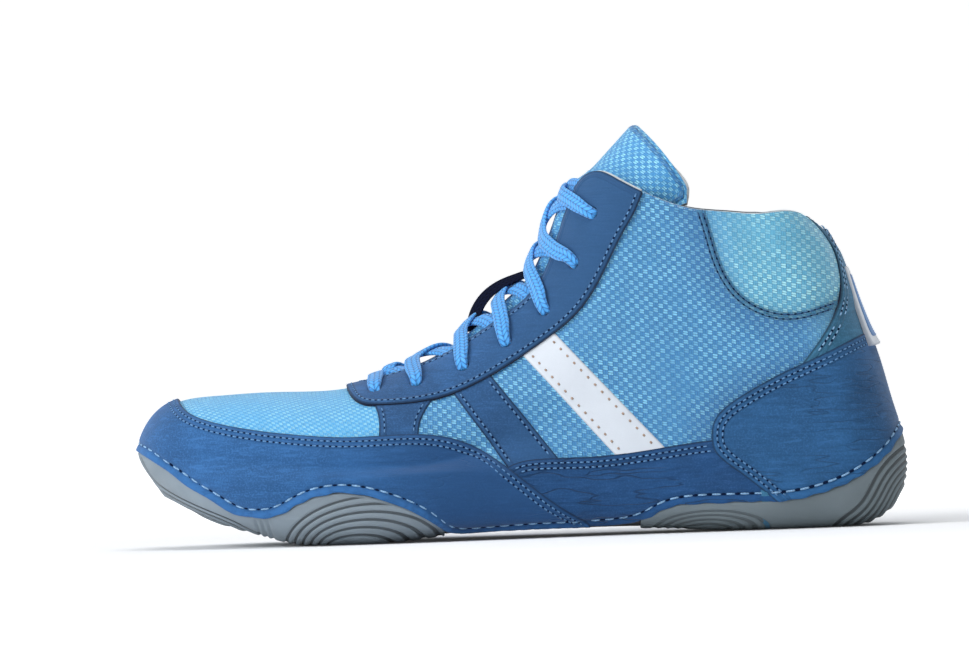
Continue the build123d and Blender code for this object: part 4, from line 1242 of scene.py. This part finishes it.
def build_sole():
    """Outsole pods with moulded grooves, and the thin arch plate between them."""
    t = np.linspace(-1, 1, int(500 * DETAIL) | 1)
    grid = Grid(np.linspace(0.0, 0.975, int(620 * DETAIL)), 0.6 * t + 0.4 * t ** 7)
    above = beside(grid, HEM)
    x, z = grid.x, grid.z
    ring, spacing, strength = groove_field(grid, above)
    far = np.abs((ring + 0.5) % 1.0 - 0.5) * spacing
    cut = strength * (1 - step_between(far, 0.25, 0.95))
    flex = sum(np.exp(-((x + 97.3 + (z - 6) * 0.25 + shift) / 0.55) ** 2) for shift in (-2.2, 0.0, 2.2))
    tuck = step_between(above, -0.6, 1.2) * 1.5
    depth = 0.15 + 0.5 * cut + 0.6 * flex * step_between(-above, 0.0, 2.5) + tuck
    pods = {
        "outsole_forefoot": (FOREFOOT_END - x, sole_rubber),
        "arch_sole": (lower_of(x - FOREFOOT_END, HEEL_POD_START - x), arch_rubber),
        "outsole_heel": (x - HEEL_POD_START, shaded_heel_rubber),
    }
    for name, (span, material) in pods.items():
        inside = lower_of(1.6 - above, span, 46 - z)
        sunk = 0.9 if name == "arch_sole" else 0.0
        piece = panel(name, grid, inside, depth + sunk, [material], thickness=3.0, roll=0.4,
                      weave=(ring, spacing), edge=strength)
        replaced(piece, name, slot="sole_rubber")


def build_hem_stitches():
    """Long lock stitches above the leather's bottom edge: on the toe rand, the arch rands and the counter."""
    stretches = [("toe", whole, lower_of(whole.rand, TOE_RAND_END - whole.grid.x), 0.3)]
    stretches += [(f"arch_{side}", f, lower_of(-f.rand, -f.counter), 0.75) for side, f in sides.items()]
    stretches.append(("heel", back, lower_of(back.counter, back.grid.x - HEEL_START), COUNTER_DEPTH))
    for name, f, where, depth in stretches:
        lines = contour(f.grid, f.above_hem, HEM_ROW, where, 0.0)
        stitches(f"stitch_hem_{name}", lines, hem_thread, pitch=5.3, length=3.8, width=0.8, height=0.8,
                 depth=depth)


# ---------------------------------------------------------------- tongue
TONGUE_POINTS = 61        # points across the tongue


def tongue_rows():
    """Rings across the tongue from under the vamp to the flap's top, outer face and inward normals."""
    lean_axis = np.array([math.cos(FLAP_LEAN), 0, math.sin(FLAP_LEAN)])
    reach_way = np.array([math.sin(FLAP_LEAN), 0, -math.cos(FLAP_LEAN)])
    hinge = np.array([FLAP_HINGE[0], 0, FLAP_HINGE[1]])
    across = np.linspace(-1, 1, TONGUE_POINTS)
    rings = []
    lower = Grid(np.linspace(0.30, 0.845, 76), np.linspace(0.6, 1.4, 161))
    for row, up in enumerate(np.linspace(0, 1, len(lower.us))):
        at = across * (30.0 + 6.0 * step_between(up, 0.3, 0.9))
        point, normal = (lookup(at, lower.arc[row], rows[row]) for rows in (lower.points, lower.normals))
        under_stay = step_between(np.abs(point[:, 1]) - throat_half_width(point[:, 0]), -9.0, 1.0)
        deep = THROAT_TONGUE_DEPTH + (TONGUE_DEPTH - THROAT_TONGUE_DEPTH) * under_stay
        deep = deep + (TONGUE_DEPTH - deep) * step_between(up, 0.88, 1.0)
        rings.append(point + normal * deep[:, None])
    turns = across * math.radians(89)
    out = FLAP_HALF_WIDTH * np.sin(turns)
    reach = FLAP_REACH * (1 - np.cos(turns))
    out = out - np.sign(out) * 3.5 * step_between(reach, 20.0, FLAP_REACH)
    tops = 28.6 - 5.0 * (reach / 31.0) ** 2 - 3.4 * step_between(reach, 29.5, FLAP_REACH)
    for t in np.concatenate([np.linspace(0.12, 0.88, 24), np.linspace(0.9, 1.0, 9)]):
        section = hinge + reach_way * reach[:, None] + np.array([0, 1, 0]) * out[:, None]
        curl = 1.2 * math.sin(math.pi * t) * np.abs(across)[:, None] ** 3
        past = np.clip((tops * t - tops + 3.2) / 3.2, 0, 1)[:, None]
        rolled = 2.6 * (1 - np.sqrt(1 - 0.98 * past ** 2)) * (1 - 0.6 * np.abs(across)[:, None])
        section = section + lean_axis * (tops * t)[:, None] - reach_way * (curl - rolled)
        rings.append(section)
    rings = np.array(rings)
    seam = len(lower.us)
    for _ in range(10):
        smooth = rings.copy()
        smooth[1:-1] = (rings[:-2] + 2 * rings[1:-1] + rings[2:]) / 4
        blend = np.exp(-((np.arange(len(rings)) - seam) / 7.0) ** 2)[:, None, None]
        rings = rings + (smooth - rings) * blend
        rings[0], rings[-1] = smooth[0], smooth[-1]
    return rings


def build_tongue():
    """Padded tongue in one piece: mesh face, white lining and a rolled edge, bending at the flap."""
    rings = tongue_rows()
    along = np.gradient(rings, axis=0)
    across = np.gradient(rings, axis=1)
    inward = unit(np.cross(across, along))
    count = rings.shape[1]
    side = np.abs(np.linspace(-1, 1, count))
    row = np.linspace(0, 1, len(rings))
    at_side, at_top = step_between(side, 0.86, 1.0)[None, :], step_between(row, 0.965, 1.0)[:, None]
    thin = 1 - 0.45 * np.maximum(at_side, 0.5 * at_top)
    swell = 0.8 * (1 - np.clip((side - 0.2) / 0.8, 0, 1) ** 2)[None, :]
    inner = rings + inward * (TONGUE_THICKNESS * thin + swell)[:, :, None]
    middle_edge = (rings + inner) / 2
    vertices = np.concatenate([rings.reshape(-1, 3), inner.reshape(-1, 3)])
    size = rings.shape[0] * count
    index = np.arange(size).reshape(rings.shape[:2])
    outer_faces = cells(index)
    inner_faces = outer_faces[:, ::-1] + size
    last = len(rings) - 1
    loop = [(0, c) for c in range(count)] + [(r, count - 1) for r in range(1, last + 1)]
    loop += [(last, c) for c in range(count - 2, -1, -1)] + [(r, 0) for r in range(last - 1, 0, -1)]
    bulge = []
    for r, c in loop:
        out = middle_edge[r, c] - middle_edge[min(max(r, 1), last - 1), min(max(c, 1), count - 2)]
        far = np.linalg.norm(out)
        bulge.append(middle_edge[r, c] + out / max(far, 1e-6) * 0.9)
    vertices = np.concatenate([vertices, np.array(bulge)])
    rim_faces, slots = [], [0] * len(outer_faces) + [1] * len(inner_faces)
    for k, (r, c) in enumerate(loop):
        m = (k + 1) % len(loop)
        a, b = index[r, c], index[loop[m]]
        p, q = 2 * size + k, 2 * size + m
        rim_faces.append([int(a), int(b), q, p])
        rim_faces.append([p, q, int(b) + size, int(a) + size])
        slots += [1, 1]
    faces = outer_faces.tolist() + inner_faces.tolist() + rim_faces
    arc = np.array([running(lengths(ring)) for ring in rings])
    run = running(lengths(rings[:, count // 2]))
    weave = np.stack([arc, np.broadcast_to(run[:, None], arc.shape), 0 * arc], axis=2).reshape(-1, 3)
    weave = np.concatenate([weave, weave, np.zeros((len(loop), 3))])
    side_edge = np.minimum(arc, arc[:, -1:] - arc)
    edge = np.minimum((run[-1] - run)[:, None], side_edge).ravel()
    edge = np.concatenate([edge, edge, np.zeros(len(loop))])
    piece = make_object("tongue", vertices, faces, [tongue_cloth, lining_cloth], body=None,
                        attributes={"weave": weave, "edge": edge}, face_slots=slots)
    replaced(piece, "tongue_face", "tongue_foam", "tongue_lining", "flap_face", "flap_foam", "flap_lining",
             slot="blue_mesh")
    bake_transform(piece)


# ---------------------------------------------------------------- lace, loop and badge
def ribbon(name, points, normals, widths, thickness, material):
    """A flat strap with rounded edges along points, facing its normals."""
    points, normals = np.array(points), np.array(normals)
    knots = running(np.sqrt(lengths(points)))
    fine = np.linspace(0, knots[-1], len(points) * 9)
    place = spline_at(knots, points, natural_bends(knots, points), fine)
    facing = lookup(fine, knots, normals)
    width = np.interp(fine, knots, widths)
    way = unit(np.gradient(place, axis=0))
    side = np.cross(way, facing)
    weak = np.linalg.norm(side, axis=1) < 0.35
    for k in range(1, len(side)):
        if weak[k]:
            side[k] = side[k - 1] - way[k] * np.dot(side[k - 1], way[k])
        side[k] = unit(side[k])
        if np.dot(side[k], side[k - 1]) < 0:
            side[k] = -side[k]
    for _ in range(3):
        side[1:-1] = averaged(side)
    side = unit(side)
    up = np.cross(side, way)
    turns = np.linspace(0, 2 * math.pi, 16, endpoint=False)
    across = np.sign(np.cos(turns)) * np.abs(np.cos(turns)) ** 0.6
    height = np.sign(np.sin(turns)) * np.abs(np.sin(turns)) ** 0.7
    rings, weave = [], []
    for p, s, u, w, r in zip(place, side, up, width, running(lengths(place))):
        rings.append(p + s * (across * w / 2)[:, None] + u * (height * thickness / 2)[:, None])
        weave.append(np.stack([across * w / 2, np.full(len(turns), r), 0 * across], axis=1))
    vertices, faces = sweep(rings)
    return make_object(name, vertices, faces, [material],
                       attributes={"weave": np.concatenate(weave), "edge": np.full(len(vertices), NO_EDGE)})


ridge = Grid(np.linspace(0.28, 0.90, 250), np.linspace(0.55, 1.45, 181))


def on_upper(u, y, depth):
    """Point and normal of the last's upper side at station u and sideways place y."""
    row = np.interp(u, ridge.us, np.arange(len(ridge.us)))
    low = int(row)
    high = min(low + 1, len(ridge.us) - 1)
    k = row - low
    points, normals = (field[low] * (1 - k) + field[high] * k for field in (ridge.points, ridge.normals))
    point, normal = (np.array([np.interp(y, points[:, 1], line[:, c]) for c in range(3)])
                     for line in (points, normals))
    normal = unit(normal)
    return point + normal * depth, normal


def eyelet_station(side, row):
    """Station u and sideways place y of an eyelet."""
    point, _ = HOLES[side][row]
    far = np.linalg.norm(ridge.points - point, axis=2)
    return float(ridge.us[np.unravel_index(far.argmin(), far.shape)[0]]), float(point[1])


LACE_WIDTH = 6.2
LACE_THICKNESS = 1.7
OVER = -1.35              # depth of the lace's middle where it lies on an eyestay
UNDER = 3.3               # and where it runs under one


def lace_strand(first_side):
    """Route of one half of the lace from the first bar to its end, tucked into the boot."""
    sign = {"lateral": -1, "medial": 1}
    other = {"lateral": "medial", "medial": "lateral"}
    route = []

    def add(u, y, depth, width=LACE_WIDTH):
        point, normal = on_upper(u, y, depth)
        route.append((point, -normal, width))

    here = first_side
    u, y = eyelet_station(here, 0)
    add(u + 0.004, 0.0, -1.0)
    add(u + 0.003, 0.55 * y, -1.25)
    add(u + 0.001, 0.88 * y, OVER, LACE_WIDTH * 0.9)
    add(u, 1.02 * y, 0.2, 4.2)
    add(u + 0.002, 0.98 * y, UNDER - 0.4, 4.2)
    for row in range(1, len(EYELETS)):
        above = other[here]
        u0, y0 = eyelet_station(here, row - 1)
        u1, y1 = eyelet_station(above, row)
        step = u1 - u0
        low = (row % 2 == 0) == (first_side == "lateral")
        near = sign[here] * float(throat_half_width(on_upper(u0, 0, 0)[0][0]))
        far = sign[above] * float(throat_half_width(on_upper(u1, 0, 0)[0][0]))
        lean = 0.02 if row < 3 else 0.14 if row < 6 else -0.1
        if row > 1:
            add(u0 + 0.02 * step, 0.95 * y0, OVER - 0.1, LACE_WIDTH * 0.8)
            add(u0 + 0.5 * lean * step, 0.5 * y0 + 0.5 * near, OVER - 0.25)
            add(u0 + lean * step, 0.8 * near, OVER - 0.5)
            add(u0 + (lean + 0.08) * step, 0.35 * near, OVER - 0.6)
        else:
            add(u0 + 0.25 * step, near, UNDER - 0.6)
        add(u0 + (0.5 + 0.4 * lean) * step, -0.2 * near, -0.4 if low else -2.1)
        add(u0 + 0.78 * step, 0.8 * far, 2.0)
        add(u0 + 0.9 * step, 0.5 * y1 + 0.5 * far, UNDER)
        add(u1 - 0.02 * step, 0.97 * y1, UNDER - 0.3, 4.6)
        add(u1, 1.02 * y1, 0.6, 4.2)
        here = above
    u, y = eyelet_station(here, len(EYELETS) - 1)
    edge = sign[here] * 15.0
    add(u - 0.001, 0.95 * y, OVER - 0.1, LACE_WIDTH * 0.8)
    add(u - 0.004, 0.8 * y, OVER - 0.2)
    add(u - 0.008, edge, OVER - 0.4)
    add(u - 0.006, 0.55 * edge, OVER + 0.4)
    add(u + 0.012, 0.25 * edge, 1.6)
    add(u + 0.034, 0.7 * edge, 2.6)
    add(u + 0.040, 1.15 * edge, UNDER)
    add(u + 0.030, 1.35 * edge, UNDER)
    return route


def build_lace():
    """One flat lace through every eyelet, its ends tucked under the eyestays."""
    first = lace_strand("lateral")
    second = lace_strand("medial")
    route = first[::-1] + second[1:]
    points, normals, widths = zip(*route)
    piece = ribbon("lace", points, normals, widths, LACE_THICKNESS, lace_braid)
    replaced(piece, "shoelace", slot="lace_braid")


def build_loop():
    """Webbing loop that stands up from the tongue and keeps the lace in place."""
    side_view = [
        (-16.5, 78.0), (-15.4, 83.5), (-12.8, 88.8), (-8.8, 93.0), (-3.8, 96.0), (1.4, 98.0),
        (5.8, 98.8), (9.5, 96.5),
    ]
    points = [(x, 0.6 * math.sin(k), z) for k, (x, z) in enumerate(side_view)]
    way = np.gradient(np.array(points), axis=0)
    normals = []
    for tilt, (x, _, z) in zip(np.radians(np.linspace(38, 12, len(points))), way):
        long = math.hypot(x, z)
        normals.append((-z / long * math.cos(tilt), -math.sin(tilt), x / long * math.cos(tilt)))
    piece = ribbon("tongue_loop", points, normals, [7.6] * len(points), 1.2, web_black)
    replaced(piece, "tongue_loop", slot="black_webbing")


def build_badge():
    """Plain two-tone label on the backstay."""
    grid = back.grid
    half_width = 17.0 - 8.0 * (grid.z - 67.5) / 30.0
    edge = lower_of(grid.z - 67.5, 97.5 - grid.z, half_width - np.abs(grid.y), grid.x - 110)
    flare = 1.3 * np.exp(-((grid.z - 66.0) / 5.0) ** 2)
    piece = panel("heel_badge", grid, edge, BADGE_DEPTH, [badge_white], thickness=1.4, edge=edge, roll=0.7,
                  relief=flare)
    replaced(piece, "heel_badge_frame", slot="badge_white")
    inner = edge - 3.0
    piece = panel("heel_badge_inlay", grid, inner, BADGE_DEPTH - 0.2, [badge_blue], thickness=0.6,
                  edge=inner, roll=0.4, relief=flare)
    replaced(piece, "heel_badge_inlay", slot="badge_blue")


# ---------------------------------------------------------------- studio
def build_studio():
    """Pale floor that glows as painted light, soft lights and the camera at the boot's outer side."""
    nodes = Nodes("studio_floor", 0.9, specular=0.1)
    nodes.shader.inputs["Emission Color"].default_value = (1.0, 1.0, 1.0, 1.0)
    x, y, _ = nodes.split(nodes.place())
    far = nodes.math("SQRT", nodes.plus(nodes.math("POWER", x, 2.0), nodes.math("POWER", y, 2.0)))
    # the floor glows, painted light: faint next to the boot so that shade shows there, bright further out
    nodes.link(nodes.ramp(far, 0.16, 0.7, 0.02, 0.70), nodes.shader.inputs["Emission Strength"])
    floor_material = nodes.finish(srgb(246, 247, 249))
    bpy.ops.mesh.primitive_plane_add(size=600, location=(0, 0, -0.0002))
    floor = bpy.context.object
    floor.name = "studio_floor"
    floor.data.materials.append(floor_material)
    world = bpy.data.worlds.new("studio")
    world.use_nodes = True
    tree = world.node_tree
    background = tree.nodes["Background"]
    background.inputs["Color"].default_value = (0.96, 0.98, 1.0, 1.0)
    split = tree.nodes.new("ShaderNodeSeparateXYZ")
    tree.links.new(tree.nodes.new("ShaderNodeTexCoord").outputs["Generated"], split.inputs[0])
    level = tree.nodes.new("ShaderNodeMath")
    level.operation = "ABSOLUTE"
    tree.links.new(split.outputs[2], level.inputs[0])
    glow = tree.nodes.new("ShaderNodeMapRange")
    glow.interpolation_type = "SMOOTHSTEP"
    for socket, number in zip(glow.inputs[1:5], (0.05, 0.12, 1.15, 0.34)):
        socket.default_value = number
    tree.links.new(level.outputs[0], glow.inputs[0])
    tree.links.new(glow.outputs[0], background.inputs["Strength"])
    bpy.context.scene.world = world
    # name, place, size and power
    lights = [
        ("key", (-1.3, -0.9, 0.8), 0.9, 22.0),
        ("top", (0.0, -0.3, 1.6), 1.1, 12.0),
        ("back", (0.6, 1.4, 0.9), 1.2, 4.0),
    ]
    for name, place, size, power in lights:
        data = bpy.data.lights.new(name, "AREA")
        data.size = size
        data.energy = power
        light = bpy.data.objects.new(name, data)
        light.location = place
        light.rotation_euler = (Vector((0, 0, 0.06)) - Vector(place)).to_track_quat("-Z", "Y").to_euler()
        bpy.context.scene.collection.objects.link(light)
    camera_data = bpy.data.cameras.new("camera")
    camera = bpy.data.objects.new("camera", camera_data)
    bpy.context.scene.collection.objects.link(camera)
    distance = 9.0
    view_width = 0.3663
    camera_data.sensor_width = 36.0
    camera_data.lens = 36.0 * distance / view_width
    camera_data.clip_end = 1000
    tilt = math.radians(0.8)
    roll = math.radians(2.03)
    target = Vector((-0.01165, 0.0, 0.0811))
    camera.location = target + Vector((0, -distance * math.cos(tilt), distance * math.sin(tilt)))
    aim = (target - camera.location).to_track_quat("-Z", "Y")
    camera.rotation_mode = "QUATERNION"
    camera.rotation_quaternion = aim @ Quaternion((0, 0, 1), -roll)
    bpy.context.scene.camera = camera
    bpy.context.scene.view_settings.view_transform = "Standard"


build_studio()
build_rand()
build_arch()
build_heel()
for side, fields in sides.items():
    build_side(side, fields)
for build in (build_mesh, build_collar, build_lining, build_sockliner, build_rims, build_sole,
              build_hem_stitches, build_tongue, build_lace, build_loop, build_badge):
    build()
